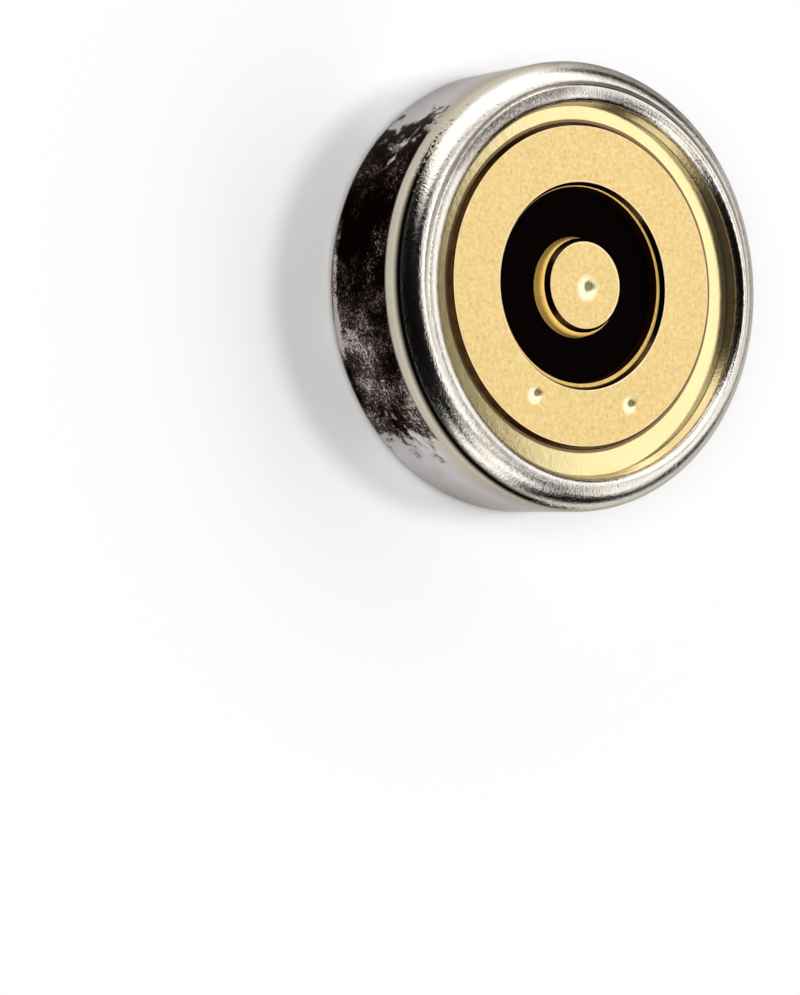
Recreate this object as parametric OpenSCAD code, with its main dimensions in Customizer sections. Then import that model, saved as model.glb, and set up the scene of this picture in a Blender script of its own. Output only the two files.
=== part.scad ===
// Electret condenser microphone capsule. A drawn metal can holds a diaphragm,
// a back plate and a terminal board, and its rear rim is rolled over the board.
// The capsule lies on its sound-inlet face, centred on the origin, with the
// terminals facing up (+Z). All sizes are in millimetres.

/* [Can] */
// Outside diameter of the can
can_d = 6; // [5.5:0.1:8]
// Thickness of the drawn sheet
can_sheet = 0.25; // [0.15:0.01:0.35]
// Outside radius of the drawn front edge
front_edge_r = 0.25; // [0.1:0.01:0.4]
// Outside radius of the rolled rear rim
rim_r = 0.37; // [0.25:0.01:0.45]
// Radius on the inner edge of the rolled rim
lip_edge_r = 0.15; // [0.05:0.01:0.18]
// Distance of the crimped crease outside the top of the rolled rim
crease_out = 0.05; // [0.04:0.005:0.08]
// Width of the crimped crease
crease_w = 0.06; // [0.03:0.005:0.08]
// Depth of the crimped crease
crease_depth = 0.018; // [0.012:0.001:0.03]
// Inside radius of the two corners of the can
corner_r = 0.04; // [0.02:0.01:0.1]

/* [Sound ports] */
// Number of sound ports in the front face
port_count = 6; // [3:1:8]
// Diameter of a sound port
port_d = 0.38; // [0.2:0.01:0.6]
// Diameter of the circle that the sound ports lie on
port_pcd = 2.7; // [2.2:0.05:3.6]

/* [Diaphragm] */
// Radial clearance between the stacked rings and the can
stack_fit = 0.02; // [0.01:0.01:0.05]
// Thickness of the diaphragm ring
film_ring_t = 0.15; // [0.08:0.01:0.25]
// Radial width of the diaphragm ring
film_ring_w = 0.45; // [0.3:0.01:0.6]
// Thickness of the stretched diaphragm
film_t = 0.02; // [0.01:0.005:0.04]
// Thickness of the spacer that sets the air gap
spacer_t = 0.04; // [0.02:0.01:0.08]
// Radial width of the spacer
spacer_w = 0.5; // [0.45:0.01:0.65]

/* [Back plate] */
// Thickness of the charged film on the front of the back plate
electret_t = 0.03; // [0.02:0.01:0.05]
// Thickness of the back plate
plate_t = 0.15; // [0.1:0.01:0.25]
// Number of air holes in the back plate
plate_hole_count = 6; // [4:1:8]
// Diameter of an air hole
plate_hole_d = 0.4; // [0.2:0.01:0.6]
// Diameter of the circle that the air holes lie on
plate_hole_pcd = 2.4; // [1.8:0.05:3]
// Radial wall of the holder beside the back plate
holder_wall = 0.32; // [0.2:0.01:0.38]
// Radial lap of the holder over the back plate
holder_lap = 0.18; // [0.1:0.01:0.25]
// Radial clearance of the back plate and the contact ring in the holder
holder_fit = 0.03; // [0.02:0.01:0.05]
// Radial wall of the contact ring
contact_ring_w = 0.16; // [0.1:0.01:0.17]
// Height of the chamber between the back plate and the board
chamber_h = 0.61; // [0.58:0.01:0.9]

/* [Terminal board] */
// Radial clearance between the board and the can
board_fit = 0.02; // [0.01:0.01:0.05]
// Thickness of the board's laminate
board_t = 0.245; // [0.2:0.005:0.6]
// Thickness of the copper on the inner side of the board
track_t = 0.03; // [0.015:0.005:0.05]
// Thickness of the plated copper on the outer side of the board
foil_t = 0.161; // [0.08:0.001:0.2]
// Thickness of the solder mask in the groove
mask_t = 0.02; // [0.01:0.005:0.04]
// How far the foot of an etched edge flares out
etch_flare = 0.015; // [0.01:0.005:0.06]

/* [Terminals] */
// Inner diameter of the ring terminal's contact face
ring_in_d = 2.77; // [2.5:0.01:3]
// Outer diameter of the ring terminal's contact face
ring_out_d = 4.27; // [4:0.01:4.6]
// Diameter of the centre terminal's contact face
centre_d = 1.17; // [0.9:0.01:1.6]
// Width of the sloping side of a terminal
slope_w = 0.045; // [0.02:0.005:0.08]
// Height of a terminal's contact face above the foil
raise_t = 0.07; // [0.065:0.005:0.12]
// Width of the foil's ledge inside the ring terminal
ring_ledge_w = 0.05; // [0.02:0.005:0.08]
// Width of the foil's ledge around the centre terminal
centre_ledge_w = 0.03; // [0.02:0.005:0.08]

/* [Vias] */
// Diameter of a filled via
via_d = 0.24; // [0.15:0.01:0.26]
// Distance of the first ground via from the axis
via_1_r = 1.68; // [1.6:0.01:1.78]
// Direction of the first ground via
via_1_angle = -35.5; // [-45:0.5:-25]
// Distance of the second ground via from the axis
via_2_r = 1.77; // [1.6:0.01:1.78]
// Direction of the second ground via
via_2_angle = 19.5; // [5:0.5:25]
// Distance of the output via from the axis
via_3_r = 0.05; // [0:0.01:0.1]
// Direction of the output via
via_3_angle = 87; // [0:1:180]
// Diameter of the dimple over a ground via
ring_dimple_d = 0.28; // [0.16:0.01:0.36]
// Diameter of the dimple over the output via
centre_dimple_d = 0.38; // [0.16:0.01:0.5]
// Depth of the dimples
dimple_depth = 0.05; // [0.02:0.005:0.06]

/* [Transistor] */
// Length of the body of the transistor, across its leads
fet_l = 0.8; // [0.6:0.01:0.9]
// Width of the body of the transistor, along its rows of leads
fet_w = 1.2; // [1:0.01:1.4]
// Height of the body of the transistor
fet_h = 0.45; // [0.3:0.01:0.5]
// Gap between the body of the transistor and the copper
fet_gap = 0.02; // [0.01:0.005:0.03]
// Slope of the sides of the moulded body, as an inset at its top
fet_draft = 0.05; // [0.02:0.005:0.08]
// Place of the transistor along X
fet_x = -0.9; // [-0.95:0.01:-0.85]
// Distance between the source and drain leads
lead_pitch = 0.8; // [0.7:0.01:0.9]
// Width of a lead
lead_w = 0.22; // [0.15:0.01:0.3]
// Thickness of a lead
lead_t = 0.1; // [0.06:0.01:0.15]
// Length of a lead outside the body
lead_out = 0.2; // [0.1:0.01:0.22]
// Length of a lead inside the body
lead_in = 0.12; // [0.08:0.01:0.2]

/* [Capacitors] */
// Length of a chip capacitor
cap_l = 1; // [0.8:0.01:1.1]
// Width of a chip capacitor
cap_w = 0.5; // [0.3:0.01:0.55]
// Height of a chip capacitor
cap_h = 0.45; // [0.25:0.01:0.5]
// Length of an end cap
end_l = 0.22; // [0.12:0.01:0.3]
// Thickness of an end cap
end_t = 0.02; // [0.01:0.005:0.04]
// Place of both capacitors along X
cap_x = 0.75; // [0.7:0.01:0.8]
// Distance of each capacitor's centre line from the X axis
cap_y = 0.6; // [0.5:0.01:0.65]

/* [Tracks] */
// Width of a copper track
track_w = 0.25; // [0.15:0.01:0.3]
// Gap between two pieces of copper
track_gap = 0.06; // [0.04:0.01:0.1]
// Length of copper beyond the end of a lead
pad_end = 0.04; // [0.02:0.01:0.06]

/* [Hidden] */
$fn = 144;

// Radii inside the can
can_r = can_d / 2;
can_in_r = can_r - can_sheet;
crest_r = can_r - rim_r;
crease_r = crest_r + crease_out;
lip_r = crest_r - lip_edge_r;
stack_r = can_in_r - corner_r - stack_fit;
board_r = can_in_r - board_fit;
foil_r = can_in_r - corner_r - board_fit;
plate_r = stack_r - holder_wall - holder_fit;
contact_out_r = plate_r - holder_lap - holder_fit;
contact_in_r = contact_out_r - contact_ring_w;
ground_limit_r = contact_in_r - track_gap;

// Radii of the terminals: base of the sloping side, edge of the foil and its flared foot
ring_base_in_r = ring_in_d / 2 - slope_w;
ring_base_out_r = ring_out_d / 2 + slope_w;
ring_foil_r = ring_base_in_r - ring_ledge_w;
ring_foot_r = ring_foil_r - etch_flare;
centre_base_r = centre_d / 2 + slope_w;
centre_foil_r = centre_base_r + centre_ledge_w;
centre_foot_r = centre_foil_r + etch_flare;

// Heights, stacked from the sound-inlet face upward
film_ring_z = can_sheet;
film_z = film_ring_z + film_ring_t;
spacer_z = film_z + film_t;
electret_z = spacer_z + spacer_t;
plate_z = electret_z + electret_t;
plate_top_z = plate_z + plate_t;
board_z = plate_top_z + chamber_h;
track_z = board_z - track_t;
board_top_z = board_z + board_t;
foil_top_z = board_top_z + foil_t;
face_z = foil_top_z + raise_t;
can_h = foil_top_z + can_sheet;

// Places on the board
via_1 = polar(via_1_r, via_1_angle);
via_2 = polar(via_2_r, via_2_angle);
via_3 = polar(via_3_r, via_3_angle);
lead_tip_x = fet_x + fet_l / 2 + lead_out;
gate_tip_x = fet_x - fet_l / 2 - lead_out;
output_bar_x = via_3[0] - via_d / 2 - pad_end;
output_bar_end_x = cap_x - cap_l / 2 + end_l;
ground_bar_x = cap_x + cap_l / 2 - end_l;
output_bar_y = cap_y + cap_w / 2 + pad_end;
ground_run_y = output_bar_y + track_gap + track_w;
clear = 1;

function polar(r, angle) = [r * cos(angle), r * sin(angle)];

// A flat ring, or a disc where the inner radius is zero
module ring(out_r, in_r, z, t) {
    translate([0, 0, z])
        difference() {
            cylinder(r = out_r, h = t);
            if (in_r > 0)
                translate([0, 0, -clear])
                    cylinder(r = in_r, h = t + 2 * clear);
        }
}

// Cylinders in a circle that cut the ports and the air holes
module hole_circle(count, pcd, d, z, t) {
    for (i = [0 : count - 1])
        rotate([0, 0, i * 360 / count])
            translate([pcd / 2, 0, z - clear])
                cylinder(d = d, h = t + 2 * clear, $fn = 48);
}

// The shallow bowl that a filled via leaves in the metal above it
module dimple(place, d) {
    bowl_r = (pow(d / 2, 2) + pow(dimple_depth, 2)) / (2 * dimple_depth);
    translate([place[0], place[1], face_z - dimple_depth + bowl_r])
        sphere(r = bowl_r, $fn = 64);
}

// A copper-filled via from the inner tracks to the outer foil
module filled_via(place) {
    color("darkorange")
        translate([place[0], place[1], board_z])
            cylinder(d = via_d, h = board_t, $fn = 64);
}

// Outer section of the can: drawn front edge, straight wall, rolled rim
module can_outline() {
    square([can_r - front_edge_r, front_edge_r]);
    translate([can_r - front_edge_r, front_edge_r])
        circle(r = front_edge_r);
    translate([0, front_edge_r])
        square([can_r, can_h - front_edge_r - rim_r]);
    translate([crest_r, can_h - rim_r])
        circle(r = rim_r);
    translate([0, can_h - rim_r])
        square([crest_r, rim_r]);
}

// Inner section of the can, under the rolled lip
module can_hollow() {
    straight_r = can_in_r - corner_r;
    translate([0, can_sheet])
        square([straight_r, foil_top_z - can_sheet]);
    translate([0, can_sheet + corner_r])
        square([can_in_r, foil_top_z - can_sheet - 2 * corner_r]);
    for (z = [can_sheet + corner_r, foil_top_z - corner_r])
        translate([straight_r, z])
            circle(r = corner_r);
}

// The mouth inside the rolled lip, with the lip's rounded edge
module can_mouth() {
    translate([0, can_sheet])
        square([lip_r, can_h]);
    difference() {
        translate([0, can_h - lip_edge_r])
            square([crest_r, clear]);
        translate([crest_r, can_h - lip_edge_r])
            circle(r = lip_edge_r);
    }
}

// The crease that the crimping tool leaves round the rim
module crimp_crease() {
    polygon([
        [crease_r, can_h - crease_depth],
        [crease_r + crease_w / 2, can_h],
        [crease_r + crease_w / 2, can_h + clear],
        [crease_r - crease_w / 2, can_h + clear],
        [crease_r - crease_w / 2, can_h]
    ]);
}

// Case: drawn can with sound ports and a rolled rear rim
module can() {
    color("silver")
        difference() {
            rotate_extrude()
                difference() {
                    can_outline();
                    can_hollow();
                    can_mouth();
                    crimp_crease();
                }
            hole_circle(port_count, port_pcd, port_d, 0, can_sheet);
        }
}

// Sound side: the ring, the film stretched on it and the air-gap spacer
module diaphragm_ring() {
    color("gold")
        ring(stack_r, stack_r - film_ring_w, film_ring_z, film_ring_t);
}

module diaphragm() {
    color("lightgoldenrodyellow")
        ring(stack_r, 0, film_z, film_t);
}

module spacer() {
    color("ivory")
        ring(stack_r, stack_r - spacer_w, spacer_z, spacer_t);
}

// Fixed plate with its charged film, both pierced by the same air holes
module pierced_disc(z, t) {
    difference() {
        ring(plate_r, 0, z, t);
        hole_circle(plate_hole_count, plate_hole_pcd, plate_hole_d, z, t);
    }
}

module electret_film() {
    color("whitesmoke")
        pierced_disc(electret_z, electret_t);
}

module back_plate() {
    color("goldenrod")
        pierced_disc(plate_z, plate_t);
}

// Insulating holder: a stepped ring that centres and presses the back plate
module holder() {
    color("black")
        rotate_extrude()
            polygon([
                [plate_r + holder_fit, electret_z],
                [stack_r, electret_z],
                [stack_r, board_z],
                [contact_out_r + holder_fit, board_z],
                [contact_out_r + holder_fit, plate_top_z],
                [plate_r + holder_fit, plate_top_z]
            ]);
}

// Metal ring that joins the back plate to the gate copper on the board
module contact_ring() {
    color("goldenrod")
        ring(contact_out_r, contact_in_r, plate_top_z, track_z - plate_top_z);
}

// Laminate of the terminal board, drilled for the vias
module board() {
    color([0.16, 0.12, 0.08])
        difference() {
            ring(board_r, 0, board_z, board_t);
            for (place = [via_1, via_2, via_3])
                translate([place[0], place[1], board_z - clear])
                    cylinder(d = via_d, h = board_t + 2 * clear, $fn = 64);
        }
}

// Ground copper: the flange that the rolled lip presses on, with an etched inner edge
module ground_foil() {
    color([0.95, 0.85, 0.55])
        rotate_extrude()
            polygon([
                [ring_foot_r, board_top_z],
                [foil_r, board_top_z],
                [foil_r, foil_top_z],
                [ring_foil_r, foil_top_z]
            ]);
}

// Output copper under the centre terminal
module output_foil() {
    color([0.95, 0.85, 0.55])
        rotate_extrude()
            polygon([
                [0, board_top_z],
                [centre_foot_r, board_top_z],
                [centre_foil_r, foil_top_z],
                [0, foil_top_z]
            ]);
}

// Raised ground terminal: a ring with sloping sides and a flat contact face
module ring_terminal() {
    color("gold")
        difference() {
            rotate_extrude()
                polygon([
                    [ring_base_in_r, foil_top_z],
                    [ring_base_out_r, foil_top_z],
                    [ring_out_d / 2, face_z],
                    [ring_in_d / 2, face_z]
                ]);
            dimple(via_1, ring_dimple_d);
            dimple(via_2, ring_dimple_d);
        }
}

// Raised output terminal in the centre
module centre_terminal() {
    color("gold")
        difference() {
            rotate_extrude()
                polygon([
                    [0, foil_top_z],
                    [centre_base_r, foil_top_z],
                    [centre_d / 2, face_z],
                    [0, face_z]
                ]);
            dimple(via_3, centre_dimple_d);
        }
}

// Black solder mask on the floor of the groove between the terminals
module solder_mask() {
    color([0.02, 0.02, 0.02])
        ring(ring_foot_r, centre_foot_r, board_top_z, mask_t);
}

module ground_via_1() { filled_via(via_1); }
module ground_via_2() { filled_via(via_2); }
module output_via() { filled_via(via_3); }

// Copper on the inner side of the board, as a flat shape of one thickness
module track() {
    color("darkorange")
        translate([0, 0, track_z])
            linear_extrude(track_t)
                children();
}

// Gate copper: the ring under the contact ring, with a tongue to the gate lead
module gate_track() {
    tongue_end_x = fet_x - fet_l / 2 + lead_in;
    track() {
        difference() {
            circle(r = contact_out_r);
            circle(r = contact_in_r);
        }
        difference() {
            translate([-contact_in_r - contact_ring_w / 2, -track_w / 2])
                square([tongue_end_x + contact_in_r + contact_ring_w / 2, track_w]);
            difference() {
                circle(r = contact_out_r + clear);
                circle(r = contact_out_r);
            }
        }
    }
}

// Output copper: from the drain lead to the output via and both capacitors
module output_track() {
    track() {
        translate([output_bar_x, -output_bar_y])
            square([output_bar_end_x - output_bar_x, 2 * output_bar_y]);
        translate([lead_tip_x - lead_out - lead_in, lead_pitch / 2 - track_w / 2])
            square([output_bar_end_x - lead_tip_x + lead_out + lead_in, track_w]);
        translate([via_3[0], via_3[1]])
            circle(d = via_d + 2 * pad_end, $fn = 64);
    }
}

// Ground copper: from the source lead round to both capacitors and the ground vias
module ground_track() {
    source_x = lead_tip_x - lead_out - lead_in;
    track()
        intersection() {
            circle(r = ground_limit_r);
            union() {
                translate([source_x, -lead_pitch / 2 - track_w / 2])
                    square([output_bar_x - track_gap - source_x, track_w]);
                translate([source_x, -ground_run_y])
                    square([track_w, ground_run_y - lead_pitch / 2]);
                translate([source_x, -ground_run_y])
                    square([can_r, track_w]);
                translate([ground_bar_x, -ground_run_y])
                    square([can_r, 2 * ground_run_y]);
            }
        }
}

// A flat lead that starts inside the transistor's body, in the direction of +X
module lead(root_x, y, direction) {
    translate([root_x, y, track_z - lead_t])
        scale([direction, 1, 1])
            translate([-lead_in, -lead_w / 2, 0])
                cube([lead_in + lead_out, lead_w, lead_t]);
}

module gate_lead() {
    color("gainsboro")
        lead(fet_x - fet_l / 2, 0, -1);
}

module source_lead() {
    color("gainsboro")
        lead(fet_x + fet_l / 2, -lead_pitch / 2, 1);
}

module drain_lead() {
    color("gainsboro")
        lead(fet_x + fet_l / 2, lead_pitch / 2, 1);
}

// Moulded transistor body with tapered sides, hanging under the board
module fet_body() {
    skin = 0.01;
    color([0.1, 0.1, 0.1])
        difference() {
            translate([fet_x, 0, track_z - fet_gap - fet_h])
                hull() {
                    translate([-fet_l / 2, -fet_w / 2, fet_h - skin])
                        cube([fet_l, fet_w, skin]);
                    translate([-fet_l / 2, -fet_w / 2, fet_h - lead_t])
                        cube([fet_l, fet_w, skin]);
                    translate([fet_draft - fet_l / 2, fet_draft - fet_w / 2, 0])
                        cube([fet_l - 2 * fet_draft, fet_w - 2 * fet_draft, skin]);
                }
            lead(fet_x - fet_l / 2, 0, -1);
            for (y = [-lead_pitch / 2, lead_pitch / 2])
                lead(fet_x + fet_l / 2, y, 1);
        }
}

// Ceramic body of a chip capacitor, inside its two end caps
module capacitor_body(y) {
    color("tan")
        translate([cap_x - cap_l / 2 + end_t, y - cap_w / 2 + end_t, track_z - cap_h + end_t])
            cube([cap_l - 2 * end_t, cap_w - 2 * end_t, cap_h - 2 * end_t]);
}

// One end cap: a metal box over the end of the ceramic body
module capacitor_end(y, direction) {
    color("silver")
        difference() {
            translate([cap_x, y - cap_w / 2, track_z - cap_h])
                scale([direction, 1, 1])
                    translate([cap_l / 2 - end_l, 0, 0])
                        cube([end_l, cap_w, cap_h]);
            capacitor_body(y);
        }
}

module capacitor_1_body() { capacitor_body(cap_y); }
module capacitor_1_output_end() { capacitor_end(cap_y, -1); }
module capacitor_1_ground_end() { capacitor_end(cap_y, 1); }
module capacitor_2_body() { capacitor_body(-cap_y); }
module capacitor_2_output_end() { capacitor_end(-cap_y, -1); }
module capacitor_2_ground_end() { capacitor_end(-cap_y, 1); }

can();
diaphragm_ring();
diaphragm();
spacer();
electret_film();
back_plate();
holder();
contact_ring();
board();
ground_foil();
output_foil();
ring_terminal();
centre_terminal();
solder_mask();
ground_via_1();
ground_via_2();
output_via();
gate_track();
output_track();
ground_track();
fet_body();
gate_lead();
source_lead();
drain_lead();
capacitor_1_body();
capacitor_1_output_end();
capacitor_1_ground_end();
capacitor_2_body();
capacitor_2_output_end();
capacitor_2_ground_end();
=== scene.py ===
"""Looks of a round electret microphone capsule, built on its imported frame.

The capsule lies on its sound face, centred on the origin, with its terminals
up. Every length is in metres. Sizes that the frame holds are read from it, and
the others are fields of the class whose piece they shape.
"""

import logging
import math
from dataclasses import asdict, dataclass, field
from enum import Enum

import bmesh
import bpy
from mathutils import Matrix, Vector
from mathutils.geometry import delaunay_2d_cdt


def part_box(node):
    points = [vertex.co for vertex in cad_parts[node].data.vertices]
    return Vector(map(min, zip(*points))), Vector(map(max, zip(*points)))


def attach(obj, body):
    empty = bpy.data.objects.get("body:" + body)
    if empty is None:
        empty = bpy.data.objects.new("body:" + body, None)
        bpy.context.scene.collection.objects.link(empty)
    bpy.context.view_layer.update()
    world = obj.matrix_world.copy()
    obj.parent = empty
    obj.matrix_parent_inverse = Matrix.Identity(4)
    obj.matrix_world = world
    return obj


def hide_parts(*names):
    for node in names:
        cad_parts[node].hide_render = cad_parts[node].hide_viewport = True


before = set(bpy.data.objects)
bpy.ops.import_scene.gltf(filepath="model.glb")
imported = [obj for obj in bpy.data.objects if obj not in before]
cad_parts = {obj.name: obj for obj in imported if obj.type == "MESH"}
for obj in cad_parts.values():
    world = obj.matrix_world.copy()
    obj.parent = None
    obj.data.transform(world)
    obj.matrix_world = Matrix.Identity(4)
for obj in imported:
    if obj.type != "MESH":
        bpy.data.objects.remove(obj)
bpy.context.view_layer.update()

LOG = logging.getLogger("capsule")
MM = 0.001
SAME_POINT = 1e-8
STRAIGHT = math.radians(178)
SHARP_FROM = math.radians(38)
FEWEST_ARC_STEPS = 3
CDT_INSIDE = 1
CDT_SAME = 1e-6
BODY = "root"
NUMBER = "NodeSocketFloat"
WHOLE = (0.0, 1.0)

Colour = tuple[float, float, float, float]
Point = tuple[float, float]
Span = tuple[float, float]
Corners = list[bmesh.types.BMVert]
Socket = bpy.types.NodeSocket
Value = Socket | float | Colour


def srgb(red: int, green: int, blue: int) -> Colour:
    """Turn a colour as a screen shows it into a linear one.

    Args:
        red: Red from 0 to 255.
        green: Green from 0 to 255.
        blue: Blue from 0 to 255.

    Returns:
        The linear colour with full alpha.
    """

    def linear(level: int) -> float:
        """Undo the screen's curve for one channel."""
        share = level / 255
        return share / 12.92 if share <= 0.04045 else ((share + 0.055) / 1.055) ** 2.4

    return (linear(red), linear(green), linear(blue), 1.0)


def offset(base: float, span: Span) -> Span:
    """Give a range that is stated from a base."""
    return (base + span[0], base + span[1])


def radii(node: str, from_z: float = -1.0) -> list[float]:
    """Give the distances from the axis of a CAD node's corners above a height."""
    return [math.hypot(v.co.x, v.co.y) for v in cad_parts[node].data.vertices if v.co.z > from_z]


def reach(node: str) -> float:
    """Give the largest distance of a CAD node from the capsule's axis."""
    return max(radii(node))


def bore(node: str) -> float:
    """Give the smallest distance of a CAD node's corners from the capsule's axis."""
    return min(radii(node))


def top(node: str) -> float:
    """Give the height of a CAD node's highest point."""
    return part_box(node)[1].z


def place(node: str) -> Vector:
    """Give the middle of a CAD node's box."""
    lowest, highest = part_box(node)
    return (lowest + highest) / 2


@dataclass(frozen=True)
class Corner:
    """One corner of a turned outline.

    Attributes:
        r: Distance from the axis.
        z: Height.
        fillet: Radius that rounds the corner.
        slot: Number of the finish from this corner to the next one.
        cuts: Number of points added on the straight run to the next corner.
        step: Largest turn from one point of the rounding to the next, in degrees.
    """

    r: float
    z: float
    fillet: float = 0.0
    slot: int = 0
    cuts: int = 0
    step: float = 5.0

    def place(self) -> Vector:
        """Give the corner's place in the outline's plane."""
        return Vector((self.r, self.z))


@dataclass(frozen=True)
class OutlinePoint:
    """A point of a finished outline, with the number of the finish from it to the next one."""

    r: float
    z: float
    slot: int


def fillet_points(before: Vector, corner: Vector, after: Vector, radius: float,
                  step: float) -> list[Vector]:
    """Round one corner with an arc that touches both of its sides.

    Args:
        before: The corner before this one.
        corner: The corner to round.
        after: The corner after this one.
        radius: Radius of the arc.
        step: Largest turn between two points, in degrees.

    Returns:
        The points of the arc, or the corner itself where it stays sharp.
    """
    back = (before - corner).normalized()
    on = (after - corner).normalized()
    opening = back.angle(on)
    if radius <= 0 or opening > STRAIGHT:
        return [corner]
    reach_along = radius / math.tan(opening / 2)
    centre = corner + (back + on).normalized() * (radius / math.sin(opening / 2))
    start = corner + back * reach_along - centre
    end = corner + on * reach_along - centre
    turn = start.angle(end)
    steps = max(FEWEST_ARC_STEPS, math.ceil(math.degrees(turn) / step))
    points = []
    for i in range(steps + 1):
        share = i / steps
        direction = start * math.sin((1 - share) * turn) + end * math.sin(share * turn)
        points.append(centre + direction / math.sin(turn))
    return points


def turned_outline(corners: list[Corner], closed: bool) -> list[OutlinePoint]:
    """Work out the points of an outline with rounded corners.

    Args:
        corners: The outline's corners in order.
        closed: Whether the last corner joins the first.

    Returns:
        The points, each with the finish of the run that starts there.
    """
    count = len(corners)
    points: list[OutlinePoint] = []
    for i, corner in enumerate(corners):
        following = corners[(i + 1) % count]
        if not closed and i in (0, count - 1):
            arc = [corner.place()]
        else:
            arc = fillet_points(corners[i - 1].place(), corner.place(), following.place(), corner.fillet,
                                corner.step)
        if points and math.dist((points[-1].r, points[-1].z), arc[0]) < SAME_POINT:
            points.pop()
        points += [OutlinePoint(p.x, p.y, corner.slot) for p in arc]
        start, end = arc[-1], following.place()
        end -= (end - start).normalized() * following.fillet
        for k in range(1, corner.cuts + 1):
            p = start.lerp(end, k / (corner.cuts + 1))
            points.append(OutlinePoint(p.x, p.y, corner.slot))
    return points


def circle(work: bmesh.types.BMesh, radius: float, z: float, steps: int,
           centre: Point = (0.0, 0.0)) -> Corners:
    """Add a level circle of corners to a mesh under construction.

    Args:
        work: The mesh.
        radius: Radius of the circle.
        z: Its height.
        steps: Number of its corners.
        centre: Its middle.

    Returns:
        The corners in order.
    """
    ring = []
    for k in range(steps):
        angle = 2 * math.pi * k / steps
        x, y = centre[0] + radius * math.cos(angle), centre[1] + radius * math.sin(angle)
        ring.append(work.verts.new((x, y, z)))
    return ring


def join_circles(work: bmesh.types.BMesh, near: Corners, far: Corners, slot: int = 0) -> None:
    """Join two circles of corners with faces, of which one may be a single corner repeated.

    Args:
        work: The mesh under construction.
        near: Corners of the first circle.
        far: Corners of the second circle.
        slot: Number of the faces' finish.
    """
    for k in range(len(near)):
        m = (k + 1) % len(near)
        corners = list(dict.fromkeys([near[k], near[m], far[m], far[k]]))
        if len(corners) > 2:
            work.faces.new(corners).material_index = slot


def turned_mesh(name: str, corners: list[Corner], closed: bool, segments: int) -> bpy.types.Mesh:
    """Turn an outline about the capsule's axis into a mesh.

    Args:
        name: Name of the mesh.
        corners: Corners of the outline; its ends may lie on the axis.
        closed: Whether the last corner joins the first.
        segments: Number of steps round the axis.

    Returns:
        The mesh, smooth shaded with its sharp edges marked.
    """
    work = bmesh.new()
    outline = turned_outline(corners, closed)
    rings = []
    for p in outline:
        if p.r < SAME_POINT:
            rings.append([work.verts.new((0, 0, p.z))] * segments)
        else:
            rings.append(circle(work, p.r, p.z, segments))
    if closed:
        rings.append(rings[0])
    for p, near, far in zip(outline, rings, rings[1:]):
        join_circles(work, near, far, p.slot)
    return finished_mesh(name, work)


def finished_mesh(name: str, work: bmesh.types.BMesh) -> bpy.types.Mesh:
    """Close a mesh under construction: weld, face outward, shade smooth.

    Args:
        name: Name of the mesh.
        work: The mesh under construction, which is freed.

    Returns:
        The finished mesh.
    """
    bmesh.ops.remove_doubles(work, verts=work.verts, dist=SAME_POINT)
    bmesh.ops.recalc_face_normals(work, faces=work.faces)
    mesh = bpy.data.meshes.new(name)
    work.to_mesh(mesh)
    work.free()
    mesh.shade_smooth()
    mesh.set_sharp_from_angle(angle=SHARP_FROM)
    return mesh


def new_piece(name: str, mesh: bpy.types.Mesh, finishes: list[bpy.types.Material], stands_for: str) -> bpy.types.Object:
    """Put a mesh in the scene as a piece that stands for a CAD node.

    Args:
        name: Name of the piece.
        mesh: Its mesh, in place in the row frame.
        finishes: Its materials, by slot number.
        stands_for: The CAD node that it replaces.

    Returns:
        The new object.
    """
    piece = bpy.data.objects.new(name, mesh)
    bpy.context.scene.collection.objects.link(piece)
    for finish in finishes:
        mesh.materials.append(finish)
    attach(piece, BODY)
    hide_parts(stands_for)
    LOG.info("%s: %d faces for %s", name, len(mesh.polygons), stands_for)
    return piece


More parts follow.
